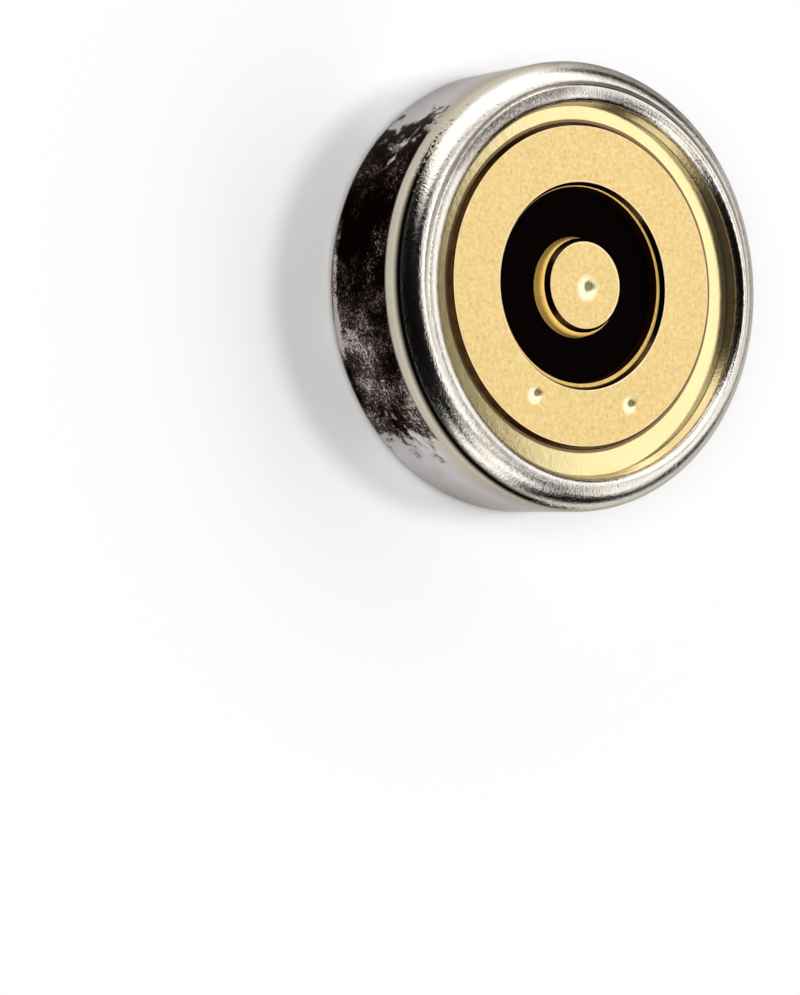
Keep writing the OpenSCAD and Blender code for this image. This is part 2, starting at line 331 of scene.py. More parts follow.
class Nodes:
    """A short way to add and join nodes in one node tree."""

    def __init__(self, tree: bpy.types.NodeTree) -> None:
        """Keep the tree that the nodes go into."""
        self.tree = tree

    def add(self, kind: str, **settings: object) -> bpy.types.Node:
        """Add a node.

        Args:
            kind: Blender's name of the node's type.
            **settings: Properties of the node, by name.

        Returns:
            The new node.
        """
        node = self.tree.nodes.new(kind)
        for key, value in settings.items():
            setattr(node, key, value)
        return node

    def join(self, source: Socket, target: Socket) -> None:
        """Link an output to an input."""
        self.tree.links.new(source, target)

    def feed(self, target: Socket, value: Value) -> None:
        """Give an input a link where the value is an output, or else a constant."""
        if isinstance(value, bpy.types.NodeSocket):
            self.join(value, target)
        else:
            target.default_value = value

    def here(self) -> Socket:
        """Give the place on the object."""
        return self.add("ShaderNodeTexCoord").outputs["Object"]

    def split(self, vector: Socket) -> tuple[Socket, ...]:
        """Give a vector's X, Y and Z."""
        parts = self.add("ShaderNodeSeparateXYZ")
        self.join(vector, parts.inputs[0])
        return tuple(parts.outputs)

    def maths(self, operation: str, *values: Value) -> Socket:
        """Add a Math node.

        Args:
            operation: Blender's name of the operation.
            *values: The numbers or outputs that it works on.

        Returns:
            The node's output.
        """
        node = self.add("ShaderNodeMath", operation=operation)
        for socket, value in zip(node.inputs, values):
            self.feed(socket, value)
        return node.outputs[0]

    def times(self, first: Value, second: Value) -> Socket:
        """Multiply two numbers."""
        return self.maths("MULTIPLY", first, second)

    def length(self, across: Value, along: Value) -> Socket:
        """Give the length of a flat vector."""
        squares = self.maths("POWER", across, 2.0), self.maths("POWER", along, 2.0)
        return self.maths("SQRT", self.maths("ADD", *squares))

    def ramp(self, value: Value, span: Span, results: Span = (0.0, 1.0)) -> Socket:
        """Map a range of numbers to another one, smoothly and held at its ends.

        Args:
            value: Number or output to map.
            span: Start and end of the range.
            results: Result at the start and at the end.

        Returns:
            The mapped output.
        """
        node = self.add("ShaderNodeMapRange", interpolation_type="SMOOTHSTEP")
        for socket, number in zip(node.inputs, (value, *span, *results)):
            self.feed(socket, number)
        return node.outputs[0]

    def fall(self, value: Value, span: Span) -> Socket:
        """Fade from 1 to 0 over a range."""
        return self.ramp(value, span, (1.0, 0.0))

    def blend(self, share: Value, first: Value, second: Value) -> Socket:
        """Mix two colours.

        Args:
            share: Share of the second colour.
            first: First colour or output.
            second: Second colour or output.

        Returns:
            The mixed colour's output.
        """
        node = self.add("ShaderNodeMix", data_type="RGBA")
        # The node's colours are its inputs 6 and 7 and its output 2.
        for number, value in ((0, share), (6, first), (7, second)):
            self.feed(node.inputs[number], value)
        return node.outputs[2]

    def noise(self, where: Socket, scale: Value, detail: float = 2.0, roughness: float = 0.5,
              bend: Value = 0.0) -> Socket:
        """Add a noise texture.

        Args:
            where: Where it is read.
            scale: Its scale, per metre.
            detail: Number of finer layers.
            roughness: Strength of the finer layers.
            bend: How far it is bent out of line.

        Returns:
            The noise's value.
        """
        node = self.add("ShaderNodeTexNoise")
        names = ("Vector", "Scale", "Detail", "Roughness", "Distortion")
        for name, value in zip(names, (where, scale, detail, roughness, bend)):
            self.feed(node.inputs[name], value)
        return node.outputs["Fac"]

    def wander(self, where: Socket, scale: Value, detail: float = 2.0, roughness: float = 0.5) -> Socket:
        """Give a noise that swings about 0."""
        return self.maths("SUBTRACT", self.noise(where, scale, detail, roughness), 0.5)

    def group(self, tree: bpy.types.NodeTree, **values: Value) -> dict[str, Socket]:
        """Place a shared node group.

        Args:
            tree: The group.
            **values: Its inputs by name, with underscores for spaces.

        Returns:
            The group's outputs by name.
        """
        node = self.add("ShaderNodeGroup", label=tree.name, node_tree=tree)
        for key, value in values.items():
            self.feed(node.inputs[key.replace("_", " ")], value)
        return {socket.name: socket for socket in node.outputs}


def new_group(name: str, inputs: dict[str, float], *results: str) -> tuple[
        bpy.types.NodeTree, Nodes, dict[str, Socket], dict[str, Socket]]:
    """Start a shared node group that takes and gives numbers.

    Args:
        name: Name of the group.
        inputs: Each input's usual value, by name.
        *results: The name of each output.

    Returns:
        The group, its nodes, its inputs by name and its outputs by name.
    """
    tree = bpy.data.node_groups.new(name, "ShaderNodeTree")
    for label, value in inputs.items():
        tree.interface.new_socket(name=label, in_out="INPUT", socket_type=NUMBER).default_value = value
    for label in results:
        tree.interface.new_socket(name=label, in_out="OUTPUT", socket_type=NUMBER)
    n = Nodes(tree)
    given = dict(zip(inputs, n.add("NodeGroupInput").outputs))
    return tree, n, given, dict(zip(results, n.add("NodeGroupOutput").inputs))


@dataclass
class Effects:
    """The node groups that several finishes share, each built once.

    Every scale is per metre.

    Attributes:
        high_grain: Heights over which the grain counts as high.
        blotched: Range of the noise over which a blotch fades in.
        edge: Range over which a band's edge fades in, as a share of its softness.
        speckless: Share of the specks' cells that stay without a speck.
        steady: Share of the circular marks that shows everywhere.
        marks_scale: Scale of the circular marks along the axis.
        marks_patches: Scale of the patches in which they fade.
        band_waves: Scale at which a band's edge wavers.
    """

    high_grain: Span = (0.42, 0.62)
    blotched: Span = (0.35, 0.66)
    edge: Span = (-0.5, 0.5)
    speckless: float = 0.72
    steady: float = 0.5
    marks_scale: float = 20000.0
    marks_patches: float = 1500.0
    band_waves: float = 4000.0

    def __post_init__(self) -> None:
        """Build the groups."""
        self.grain = self._grain()
        self.blotches = self._blotches()
        self.turning = self._turning()
        self.band = self._band()
        self.specks = self._specks()
        self.spot = self._spot()

    def _grain(self) -> bpy.types.NodeTree:
        """Build fine plated grain.

        Returns:
            The group, which gives a height and a mask of its high spots.
        """
        usual = {"Coarse": 20000.0, "Fine": 60000.0, "Fine Share": 0.5}
        tree, n, given, result = new_group("Plated grain", usual, "Height", "Mask")
        where = n.here()
        coarse = n.noise(where, given["Coarse"], roughness=0.6)
        fine = n.noise(where, given["Fine"], detail=1.0)
        # The node's numbers are its inputs 2 and 3 and its output 0.
        spread = n.add("ShaderNodeMix", data_type="FLOAT")
        for number, value in ((0, given["Fine Share"]), (2, coarse), (3, fine)):
            n.join(value, spread.inputs[number])
        n.join(spread.outputs[0], result["Height"])
        n.join(n.ramp(spread.outputs[0], self.high_grain), result["Mask"])
        return tree

    def _blotches(self) -> bpy.types.NodeTree:
        """Build soft blotches.

        Returns:
            The group, which gives a mask that varies slowly over the surface.
        """
        tree, n, given, result = new_group("Soft blotches", {"Scale": 3000.0, "Bend": 0.4}, "Mask")
        noise = n.noise(n.here(), given["Scale"], detail=4.0, roughness=0.6, bend=given["Bend"])
        n.join(n.ramp(noise, self.blotched), result["Mask"])
        return tree

    def _turning(self) -> bpy.types.NodeTree:
        """Build fine circular marks about the capsule's axis.

        Returns:
            The group, which gives a height.
        """
        usual = {"Pitch": 0.03 * MM, "Unevenness": 0.5}
        tree, n, given, result = new_group("Circular marks", usual, "Height")
        where = n.here()
        x, y, z = n.split(where)
        along = n.add("ShaderNodeCombineXYZ")
        n.join(n.maths("DIVIDE", n.length(x, y), given["Pitch"]), along.inputs[0])
        n.join(n.times(z, self.marks_scale), along.inputs[1])
        marks = n.noise(along.outputs[0], 1.0, detail=3.0, roughness=0.7)
        patches = n.noise(where, self.marks_patches)
        patches = n.maths("MULTIPLY_ADD", patches, given["Unevenness"], self.steady)
        n.join(n.times(marks, patches), result["Height"])
        return tree

    def _band(self) -> bpy.types.NodeTree:
        """Build a ring between two radii.

        Returns:
            The group, which gives a mask.
        """
        usual = {"Inner": 1.0 * MM, "Outer": 2.0 * MM, "Soft": 0.01 * MM, "Waver": 0.0}
        tree, n, given, result = new_group("Ring band", usual, "Mask")
        where = n.here()
        x, y, _ = n.split(where)
        radius = n.maths("MULTIPLY_ADD", n.wander(where, self.band_waves), given["Waver"], n.length(x, y))
        sides = []
        for more, less in ((radius, given["Inner"]), (given["Outer"], radius)):
            sides.append(n.ramp(n.maths("DIVIDE", n.maths("SUBTRACT", more, less), given["Soft"]), self.edge))
        n.join(n.maths("MINIMUM", *sides), result["Mask"])
        return tree

    def _specks(self) -> bpy.types.NodeTree:
        """Build sparse small specks.

        Returns:
            The group, which gives a mask.
        """
        tree, n, given, result = new_group("Specks", {"Scale": 8000.0, "Size": 0.12}, "Mask")
        cells = n.add("ShaderNodeTexVoronoi")
        n.join(n.here(), cells.inputs["Vector"])
        n.join(given["Scale"], cells.inputs["Scale"])
        colour = n.add("ShaderNodeSeparateColor")
        n.join(cells.outputs["Color"], colour.inputs[0])
        chosen = n.maths("GREATER_THAN", colour.outputs[0], self.speckless)
        near = n.maths("LESS_THAN", cells.outputs["Distance"], given["Size"])
        n.join(n.times(near, chosen), result["Mask"])
        return tree

    def _spot(self) -> bpy.types.NodeTree:
        """Build a round spot on a face.

        Returns:
            The group, which gives a mask.
        """
        usual = {"Middle X": 0.0, "Middle Y": 0.0, "Size": 0.1 * MM, "Soft": 0.3}
        tree, n, given, result = new_group("Round spot", usual, "Mask")
        x, y, _ = n.split(n.here())
        away = n.length(n.maths("SUBTRACT", x, given["Middle X"]), n.maths("SUBTRACT", y, given["Middle Y"]))
        share = n.maths("DIVIDE", n.times(away, 2.0), given["Size"])
        n.join(n.fall(share, (n.maths("SUBTRACT", 1.0, given["Soft"]), 1.0)), result["Mask"])
        return tree


class Finish:
    """A material under construction, with its Principled shader."""

    def __init__(self, name: str, colour: Colour, metallic: float, roughness: float) -> None:
        """Start a material.

        Args:
            name: Name of the material.
            colour: Its plain colour.
            metallic: Share of it that mirrors as metal does.
            roughness: Its plain roughness.
        """
        self.material = bpy.data.materials.new(name)
        self.material.use_nodes = True
        self.material.diffuse_color = colour
        self.nodes = Nodes(self.material.node_tree)
        self.shader = self.material.node_tree.nodes["Principled BSDF"]
        self.set("Base Color", colour)
        self.set("Metallic", metallic)
        self.set("Roughness", roughness)

    def set(self, socket: str, value: Value) -> None:
        """Give one of the shader's sockets a link or a constant."""
        self.nodes.feed(self.shader.inputs[socket], value)

    def bump(self, height: Socket, depth: float, below: Socket | None = None) -> Socket:
        """Raise the surface by a height.

        Args:
            height: Output with the height from 0 to 1.
            depth: Real depth of the relief.
            below: Normal that this relief lies on, if any.

        Returns:
            The bumped normal.
        """
        node = self.nodes.add("ShaderNodeBump")
        node.inputs["Distance"].default_value = depth
        node.inputs["Strength"].default_value = 1.0
        self.nodes.join(height, node.inputs["Height"])
        if below is not None:
            self.nodes.join(below, node.inputs["Normal"])
        self.set("Normal", node.outputs[0])
        return node.outputs[0]


@dataclass(frozen=True)
class Grain:
    """Fine grain of a surface.

    Attributes:
        coarse: Scale of its coarse part, per metre.
        fine: Scale of its fine part, per metre.
        fine_share: Share of the fine part.
    """

    coarse: float
    fine: float
    fine_share: float

    def on(self, n: Nodes, effects: Effects) -> dict[str, Socket]:
        """Give its height and the mask of its high spots, by name."""
        return n.group(effects.grain, Coarse=self.coarse, Fine=self.fine, Fine_Share=self.fine_share)


@dataclass(frozen=True)
class Blotches:
    """Scale of soft blotches, per metre, and how far they are bent out of line."""

    scale: float
    bend: float

    def mask(self, n: Nodes, effects: Effects) -> Socket:
        """Give where they lie, from 0 to 1."""
        return n.group(effects.blotches, Scale=self.scale, Bend=self.bend)["Mask"]


@dataclass(frozen=True)
class Tint:
    """A colour laid over another one, up to a share of it."""

    colour: Colour
    share: float

    def over(self, n: Nodes, tone: Value, mask: Socket) -> Socket:
        """Lay it over a tone where a mask shows."""
        return n.blend(n.times(mask, self.share), tone, self.colour)


@dataclass(frozen=True)
class Side:
    """One side of the can.

    Attributes:
        direction: Direction that it faces.
        turn: Turns towards it over which it starts, where 1 is full on.
        waver: How far that start wanders.
    """

    direction: Point
    turn: Span
    waver: float

    def facing(self, n: Nodes, x: Socket, y: Socket, wall_r: float) -> Socket:
        """Give how far a place lies towards it, where 1 is full on at the wall."""
        across, along = self.direction
        return n.maths("ADD", n.times(x, across / wall_r), n.times(y, along / wall_r))

    def mask(self, n: Nodes, facing: Socket, wander: Socket) -> Socket:
        """Give where it lies, from 0 to 1."""
        return n.ramp(n.maths("MULTIPLY_ADD", wander, self.waver, facing), self.turn)


@dataclass(frozen=True)
class CanZones:
    """Where the zones of the can's sheet lie, from 0 to 1, and the place along X."""

    x: Socket
    outside: Socket
    wall: Socket
    bare: Socket
    # Painted shade on one side of the wall and roll.
    stain: Socket
    # Painted dim reflection on parts of the outer roll and the lip.
    dull: Socket
    # Painted shade in the crease, darker towards -X.
    crease: Socket
    # Where the painted shade thins in a streak along the front edge.
    scraped: Socket


@dataclass(frozen=True)
class NickelFinish:
    """Nickel plating: bright on the rolled rim, with painted shade and bare spots on one side of the wall and roll.

    A field that ends in _from or _to is the range of heights over which a zone starts or ends, and one
    that ends in _levels is a range of the grain's height.

    Attributes:
        wall_r: Radius of the wall.
        crest_r: Radius of the rim's highest circle.
        crease_r: Radius of the crimp's crease.
        crease_middle: Middle of the crease's circle.
        outer_skin: Radii over which the outer side starts, from the wall's radius.
        outer_roll: Radii over which the roll's outer part starts, from the wall's radius.
        crest_line: Radii over which the lip ends, from the crest's radius.
        scrape_turn: Turns towards the shaded side over which its streak of thinner painted shade starts.
        scrape_gain: How much thinner the painted shade is in the streak.
        scuff_drift: How much thinner the painted shade gets towards +X.
        wander_scale: Scale at which the zones' edges wander, per metre.
        speckle_scale: Scale of their speckles.
        patch_scale: Scale of the patches in the painted shade.
        height_waver: How far the painted shade's heights wander.
        crease_dirt: Distances from the crease over which its painted shade ends.
        crease_waver: How far the edge of that painted shade wanders.
        crease_share: Share of the painted shade in the crease at the side of -X and of +X.
        colour: The plain colour of the rim.
        ivory: The plain colour of the roll's outer side.
        smoke: The colour of the thin places in the painted shade.
        scuff: The colour of the bare high spots in it.
        glancing: Share of the light that it mirrors at a glancing angle.
        speckle_shares: Share of the painted dim reflection at the ends of the speckle's levels.
        rough_change: What the grain adds to the roughness at the ends of its levels.
    """

    wall_r: float
    crest_r: float
    crease_r: float
    crease_middle: Point
    outer_skin: Span = (-0.08 * MM, -0.04 * MM)
    outer_roll: Span = (-0.3 * MM, -0.14 * MM)
    crest_line: Span = (-0.02 * MM, 0.02 * MM)
    # Heights over which the painted shade on one side of the wall starts and ends.
    stain_from: Span = (-0.01 * MM, 0.09 * MM)
    stain_to: Span = (1.41 * MM, 1.47 * MM)
    scuffs_to: Span = (1.4 * MM, 1.44 * MM)
    wall_to: Span = (1.04 * MM, 1.54 * MM)
    # Heights of the streak of thinner painted shade along the front edge.
    scrape_from: Span = (0.13 * MM, 0.2 * MM)
    scrape_to: Span = (0.25 * MM, 0.34 * MM)
    scrape_turn: Span = (0.93, 0.985)
    scrape_gain: float = 0.22
    # The painted shade thins towards +X.
    scuff_drift: float = 0.18
    roll_from: Span = (1.58 * MM, 1.68 * MM)
    roll_to: Span = (1.74 * MM, 1.8 * MM)
    # Heights over which the painted dim reflection on the outer roll starts.
    dull_from: Span = (1.48 * MM, 1.74 * MM)
    wander_scale: float = 2500.0
    speckle_scale: float = 26000.0
    patch_scale: float = 1300.0
    height_waver: float = 0.25 * MM
    # Sides on which shade and dim reflections are painted.
    stained: Side = Side((-0.117, -0.993), (0.66, 0.76), 0.9)
    stained_roll: Side = Side((0.284, -0.959), (0.45, 0.57), 0.3)
    dulled_roll: Side = Side((-0.87, 0.49), (0.76, 1.0), 0.25)
    dulled_lip: Side = Side((-0.91, -0.41), (0.74, 0.84), 0.1)
    # Reach of the painted shade in the crease.
    crease_dirt: Span = (0.015 * MM, 0.042 * MM)
    crease_waver: float = 0.03 * MM
    crease_share: Span = (0.85, 0.0)
    colour: Colour = srgb(222, 216, 207)
    tarnish: Tint = Tint(srgb(192, 184, 172), 0.4)
    ivory: Colour = srgb(212, 203, 184)
    # Colour of the painted dim reflection.
    dulled: Colour = srgb(104, 98, 92)
    # Colour of the painted shade in the crease.
    grime: Colour = srgb(92, 82, 72)
    wall: Colour = srgb(232, 230, 233)
    # Colours of the painted shade: black, thin places and bare spots.
    black: Colour = srgb(8, 5, 5)
    smoke: Colour = srgb(112, 96, 90)
    scuff: Colour = srgb(222, 212, 206)
    smoke_levels: Span = (0.48, 0.68)
    scuff_levels: Span = (0.61, 0.76)
    speckle_levels: Span = (0.38, 0.64)
    speckle_shares: Span = (0.95, 0.5)
    glancing: Colour = (0.5, 0.48, 0.46, 1.0)
    roughness: float = 0.13
    wall_roughness: float = 0.18
    rough_levels: Span = (0.3, 0.7)
    rough_change: Span = (-0.04, 0.08)
    grain: Grain = Grain(28000.0, 64000.0, 0.35)
    grain_depth: float = 0.005 * MM
    wall_grain_depth: float = 0.008 * MM
    clouds: Blotches = Blotches(900.0, 0.6)
    marks_pitch: float = 0.02 * MM
    marks_unevenness: float = 0.8
    marks_depth: float = 0.00003 * MM

    def _zones(self, n: Nodes) -> CanZones:
        """Work out where the zones of the sheet lie.

        Args:
            n: Nodes of the material.

        Returns:
            The zones.
        """
        where = n.here()
        x, y, z = n.split(where)
        radius = n.length(x, y)
        outside = n.ramp(radius, offset(self.wall_r, self.outer_skin))
        wander = n.wander(where, self.wander_scale, detail=5.0, roughness=0.65)
        speckle = n.wander(where, self.speckle_scale, detail=2.0, roughness=0.6)
        height = n.maths("MULTIPLY_ADD", wander, self.height_waver, z)
        facing, near_roll, near_dim, near_lip = (
            side.facing(n, x, y, self.wall_r)
            for side in (self.stained, self.stained_roll, self.dulled_roll, self.dulled_lip)
        )
        # Streak along the front edge, on the shaded side, where the painted shade thins.
        scraped = n.times(n.ramp(height, self.scrape_from), n.fall(height, self.scrape_to))
        # Painted shade on one side of the wall and on a band of the roll.
        on_wall = n.times(n.ramp(height, self.stain_from), n.fall(z, self.stain_to))
        on_wall = n.times(on_wall, self.stained.mask(n, facing, wander))
        on_roll = n.times(n.ramp(z, self.roll_from), n.fall(z, self.roll_to))
        near_roll = n.maths("ADD", speckle, near_roll)
        on_roll = n.times(on_roll, self.stained_roll.mask(n, near_roll, wander))
        # Painted dim reflection on one side of the outer roll and of the lip.
        dull = n.times(n.ramp(radius, offset(self.wall_r, self.outer_roll)), n.ramp(z, self.dull_from))
        dull = n.times(self.dulled_roll.mask(n, near_dim, wander), dull)
        lip = n.fall(radius, offset(self.crest_r, self.crest_line))
        lip = n.times(self.dulled_lip.mask(n, near_lip, wander), lip)
        # Painted shade in the crease, darker towards -X.
        middle_x, middle_y = self.crease_middle
        ring = n.length(n.maths("SUBTRACT", x, middle_x), n.maths("SUBTRACT", y, middle_y))
        off = n.maths("ABSOLUTE", n.maths("SUBTRACT", ring, self.crease_r))
        off = n.maths("MULTIPLY_ADD", speckle, self.crease_waver, off)
        share = n.ramp(x, (-self.wall_r, self.wall_r), self.crease_share)
        return CanZones(
            x=x,
            outside=outside,
            wall=n.times(outside, n.fall(z, self.scuffs_to)),
            bare=n.times(outside, n.fall(z, self.wall_to)),
            stain=n.times(outside, n.maths("MAXIMUM", on_wall, on_roll)),
            dull=n.maths("MAXIMUM", dull, lip),
            crease=n.times(n.fall(off, self.crease_dirt), share),
            scraped=n.times(scraped, n.ramp(facing, self.scrape_turn)),
        )

    def _scuffed(self, n: Nodes, zones: CanZones, grain: Socket) -> Socket:
        """Colour the painted shade on one side of the can.

        Args:
            n: Nodes of the material.
            zones: Where the zones of the sheet lie.
            grain: Height of the grain.

        Returns:
            The colour: painted black shade on the roll, and on the wall painted shade with thin and bare places.
        """
        # Levels of the painted shade: black, thin places and bare high spots.
        level = n.maths("ADD", n.wander(n.here(), self.patch_scale, detail=5.0, roughness=0.6), grain)
        # The painted shade thins towards +X and in the streak along the front edge.
        level = n.maths("MULTIPLY_ADD", zones.x, self.scuff_drift / self.wall_r, level)
        level = n.maths("MULTIPLY_ADD", zones.scraped, self.scrape_gain, level)
        shaded_tone = n.blend(n.ramp(level, self.smoke_levels), self.black, self.smoke)
        shaded_tone = n.blend(n.ramp(level, self.scuff_levels), shaded_tone, self.scuff)
        return n.blend(zones.wall, self.black, shaded_tone)

    def material(self, effects: Effects) -> bpy.types.Material:
        """Build the material.

        Args:
            effects: The shared effects.

        Returns:
            The material.
        """
        finish = Finish("nickel_plating", self.colour, 1.0, self.roughness)
        n = finish.nodes
        zones = self._zones(n)
        grain = self.grain.on(n, effects)["Height"]
        marks = n.group(effects.turning, Pitch=self.marks_pitch, Unevenness=self.marks_unevenness)
        plain = n.blend(zones.outside, self.colour, self.ivory)
        plain = n.blend(zones.bare, plain, self.wall)
        plain = self.tarnish.over(n, plain, self.clouds.mask(n, effects))
        speckled = n.ramp(grain, self.speckle_levels, self.speckle_shares)
        # Painted dim reflection on the outer roll and the lip.
        plain = n.blend(n.times(zones.dull, speckled), plain, self.dulled)
        # Painted shade in the crease.
        plain = n.blend(zones.crease, plain, self.grime)
        # Painted shade on one side of the wall and roll.
        finish.set("Base Color", n.blend(zones.stain, plain, self._scuffed(n, zones, grain)))
        finish.set("Specular Tint", self.glancing)
        rough = n.ramp(zones.stain, WHOLE, (self.roughness, self.wall_roughness))
        uneven = n.ramp(grain, self.rough_levels, self.rough_change)
        finish.set("Roughness", n.maths("ADD", rough, uneven))
        base = finish.bump(marks["Height"], self.marks_depth)
        share = n.ramp(zones.stain, WHOLE, (self.grain_depth / self.wall_grain_depth, 1.0))
        finish.bump(n.times(grain, share), self.wall_grain_depth, base)
        return finish.material


@dataclass(frozen=True)
class Dimple:
    """The shallow bowl that a filled via leaves in a contact face, with a small pit in it.

    Attributes:
        via: CAD node of the via.
        width: Diameter of the bowl.
        bowl_off: How far the bowl's middle is from the via's.
        pit_width: Diameter of the pit.
        pit_off: How far the pit's middle is from the via's.
        depth: Depth of the bowl.
        pit_depth: Depth of the pit below the bowl.
        steepness: Power that shapes the pit's side.
    """

    via: str
    width: float
    bowl_off: Point
    pit_width: float
    pit_off: Point
    depth: float = 0.024 * MM
    pit_depth: float = 0.034 * MM
    steepness: float = 4.0

    def middle(self, off: Point) -> Point:
        """Give the place that is off from the via's middle."""
        via = place(self.via)
        return (via.x + off[0], via.y + off[1])

    def press(self, mesh: bpy.types.Mesh, lowest: float) -> None:
        """Press the dimple into a face.

        Args:
            mesh: Mesh of the terminal.
            lowest: Height above which its corners belong to the face.
        """
        bowl, pit = self.middle(self.bowl_off), self.middle(self.pit_off)
        for vertex in mesh.vertices:
            spot = (vertex.co.x, vertex.co.y)
            away = math.dist(spot, bowl) / (self.width / 2)
            if vertex.co.z > lowest and away < 1:
                hole = math.exp(-((math.dist(spot, pit) / (self.pit_width / 2)) ** self.steepness))
                vertex.co.z -= self.depth * (1 + math.cos(math.pi * away)) / 2 + self.pit_depth * hole


@dataclass(frozen=True)
class ContactGoldFinish:
    """Gold plating on a contact face: matt and grained, with edges that show wear and a painted highlight, and dimples
    with painted highlight and shade.

    Attributes:
        edges: Radii of the edges of the contact faces.
        dimples: The dimples in the faces.
        colour: Its plain colour.
        shade: The colour of its small blotches and its low spots.
        rose: The colour of its wide rosy blotches.
        straw: The colour of its wide, duller blotches.
        speck: The colour of its small specks.
        worn: The colour of its edges: wear and a painted highlight.
        polished: The colour of the painted highlight in the dimples' bowls.
        grime: The colour of the painted shade in the dimples' pits.
        low_levels: Heights of the grain over which the shade starts.
        low_shares: Share of the shade at those heights.
        speck_scale: Scale of the specks' cells, per metre.
        speck_size: Size of a speck in its cell.
        pit_grow: Width of a pit's painted shade, where 1 is the pit's.
        metallic: Share of it that mirrors; the rest scatters, as the matt plating does.
        rough_change: What the small blotches add to the roughness round them and in them.
    """

    edges: tuple[float, ...]
    dimples: tuple[Dimple, ...]
    colour: Colour = srgb(238, 211, 146)
    shade: Tint = Tint(srgb(208, 174, 108), 0.38)
    rose: Tint = Tint(srgb(246, 208, 150), 0.5)
    straw: Tint = Tint(srgb(230, 206, 136), 0.5)
    speck: Tint = Tint(srgb(180, 142, 84), 0.3)
    # Colour of the edges: wear, partly a painted highlight.
    worn: Tint = Tint(srgb(252, 226, 190), 0.8)
    # Colour of the painted highlight in the dimples' bowls.
    polished: Tint = Tint(srgb(255, 252, 212), 0.9)
    # Colour of the painted shade in the dimples' pits.
    grime: Tint = Tint(srgb(104, 82, 52), 0.85)
    grain: Grain = Grain(26000.0, 64000.0, 0.4)
    grain_depth: float = 0.003 * MM
    low_levels: Span = (0.46, 0.64)
    low_shares: Span = (0.0, 0.4)
    rosy_blotches: Blotches = Blotches(1100.0, 0.8)
    dull_blotches: Blotches = Blotches(2300.0, 1.0)
    small_blotches: Blotches = Blotches(15000.0, 0.4)
    speck_scale: float = 9000.0
    speck_size: float = 0.2
    edge_w: float = 0.03 * MM
    edge_soft: float = 0.012 * MM
    edge_waver: float = 0.03 * MM
    bowl_soft: float = 0.5
    pit_soft: float = 0.4
    pit_grow: float = 1.1
    metallic: float = 0.65
    roughness: float = 0.42
    rough_change: Span = (-0.06, 0.08)

    def material(self, effects: Effects) -> bpy.types.Material:
        """Build the material.

        Args:
            effects: The shared effects.

        Returns:
            The material.
        """
        finish = Finish("contact_gold", self.colour, self.metallic, self.roughness)
        n = finish.nodes
        grain = self.grain.on(n, effects)["Height"]
        small = self.small_blotches.mask(n, effects)
        specks = n.group(effects.specks, Scale=self.speck_scale, Size=self.speck_size)["Mask"]
        tone = self.rose.over(n, self.colour, self.rosy_blotches.mask(n, effects))
        tone = self.straw.over(n, tone, self.dull_blotches.mask(n, effects))
        tone = self.shade.over(n, tone, small)
        tone = n.blend(n.ramp(grain, self.low_levels, self.low_shares), tone, self.shade.colour)
        tone = self.speck.over(n, tone, specks)
        # Edges with wear and a partly painted highlight.
        for edge in self.edges:
            band = n.group(effects.band, Inner=edge - self.edge_w / 2, Outer=edge + self.edge_w / 2,
                           Soft=self.edge_soft, Waver=self.edge_waver)
            tone = self.worn.over(n, tone, band["Mask"])
        # Painted highlight in each dimple's bowl and painted shade in its pit.
        for dimple in self.dimples:
            spots = (
                (dimple.middle(dimple.bowl_off), dimple.width, self.bowl_soft, self.polished),
                (dimple.middle(dimple.pit_off), dimple.pit_width * self.pit_grow, self.pit_soft, self.grime),
            )
            for (x, y), size, soft, tint in spots:
                spot = n.group(effects.spot, Middle_X=x, Middle_Y=y, Size=size, Soft=soft)
                tone = tint.over(n, tone, spot["Mask"])
        finish.set("Base Color", tone)
        finish.set("Roughness", n.ramp(small, WHOLE, offset(self.roughness, self.rough_change)))
        finish.bump(grain, self.grain_depth)
        return finish.material


@dataclass(frozen=True)
class FlangeGoldFinish:
    """Bright gold on the board's rim, with painted shade along the terminal's foot.

    Attributes:
        foot_r: Radius of the ring terminal's foot.
        colour: Its plain colour.
        blush: The colour of its wide blotches.
        stain: The colour of the painted shade along the foot.
        stain_band: Where that painted shade starts and ends, from the foot's radius.
        stain_soft: Softness of its border.
        stain_waver: How far it wanders.
        metallic: Share of it that mirrors; the rest scatters.
    """

    foot_r: float
    colour: Colour = srgb(232, 216, 162)
    blush: Tint = Tint(srgb(228, 202, 140), 0.3)
    # Painted shade along the ring terminal's foot.
    stain: Tint = Tint(srgb(84, 44, 16), 0.85)
    stain_band: Span = (-0.2 * MM, 0.04 * MM)
    stain_soft: float = 0.02 * MM
    stain_waver: float = 0.012 * MM
    clouds: Blotches = Blotches(1800.0, 0.5)
    grain: Grain = Grain(9000.0, 40000.0, 0.25)
    grain_depth: float = 0.0008 * MM
    metallic: float = 0.92
    roughness: float = 0.13

    def material(self, effects: Effects) -> bpy.types.Material:
        """Build the material.

        Args:
            effects: The shared effects.

        Returns:
            The material.
        """
        finish = Finish("flange_gold", self.colour, self.metallic, self.roughness)
        n = finish.nodes
        # Painted shade along the ring terminal's foot.
        inner, outer = offset(self.foot_r, self.stain_band)
        foot = n.group(effects.band, Inner=inner, Outer=outer, Soft=self.stain_soft, Waver=self.stain_waver)
        tone = self.blush.over(n, self.colour, self.clouds.mask(n, effects))
        finish.set("Base Color", self.stain.over(n, tone, foot["Mask"]))
        finish.bump(self.grain.on(n, effects)["Height"], self.grain_depth)
        return finish.material


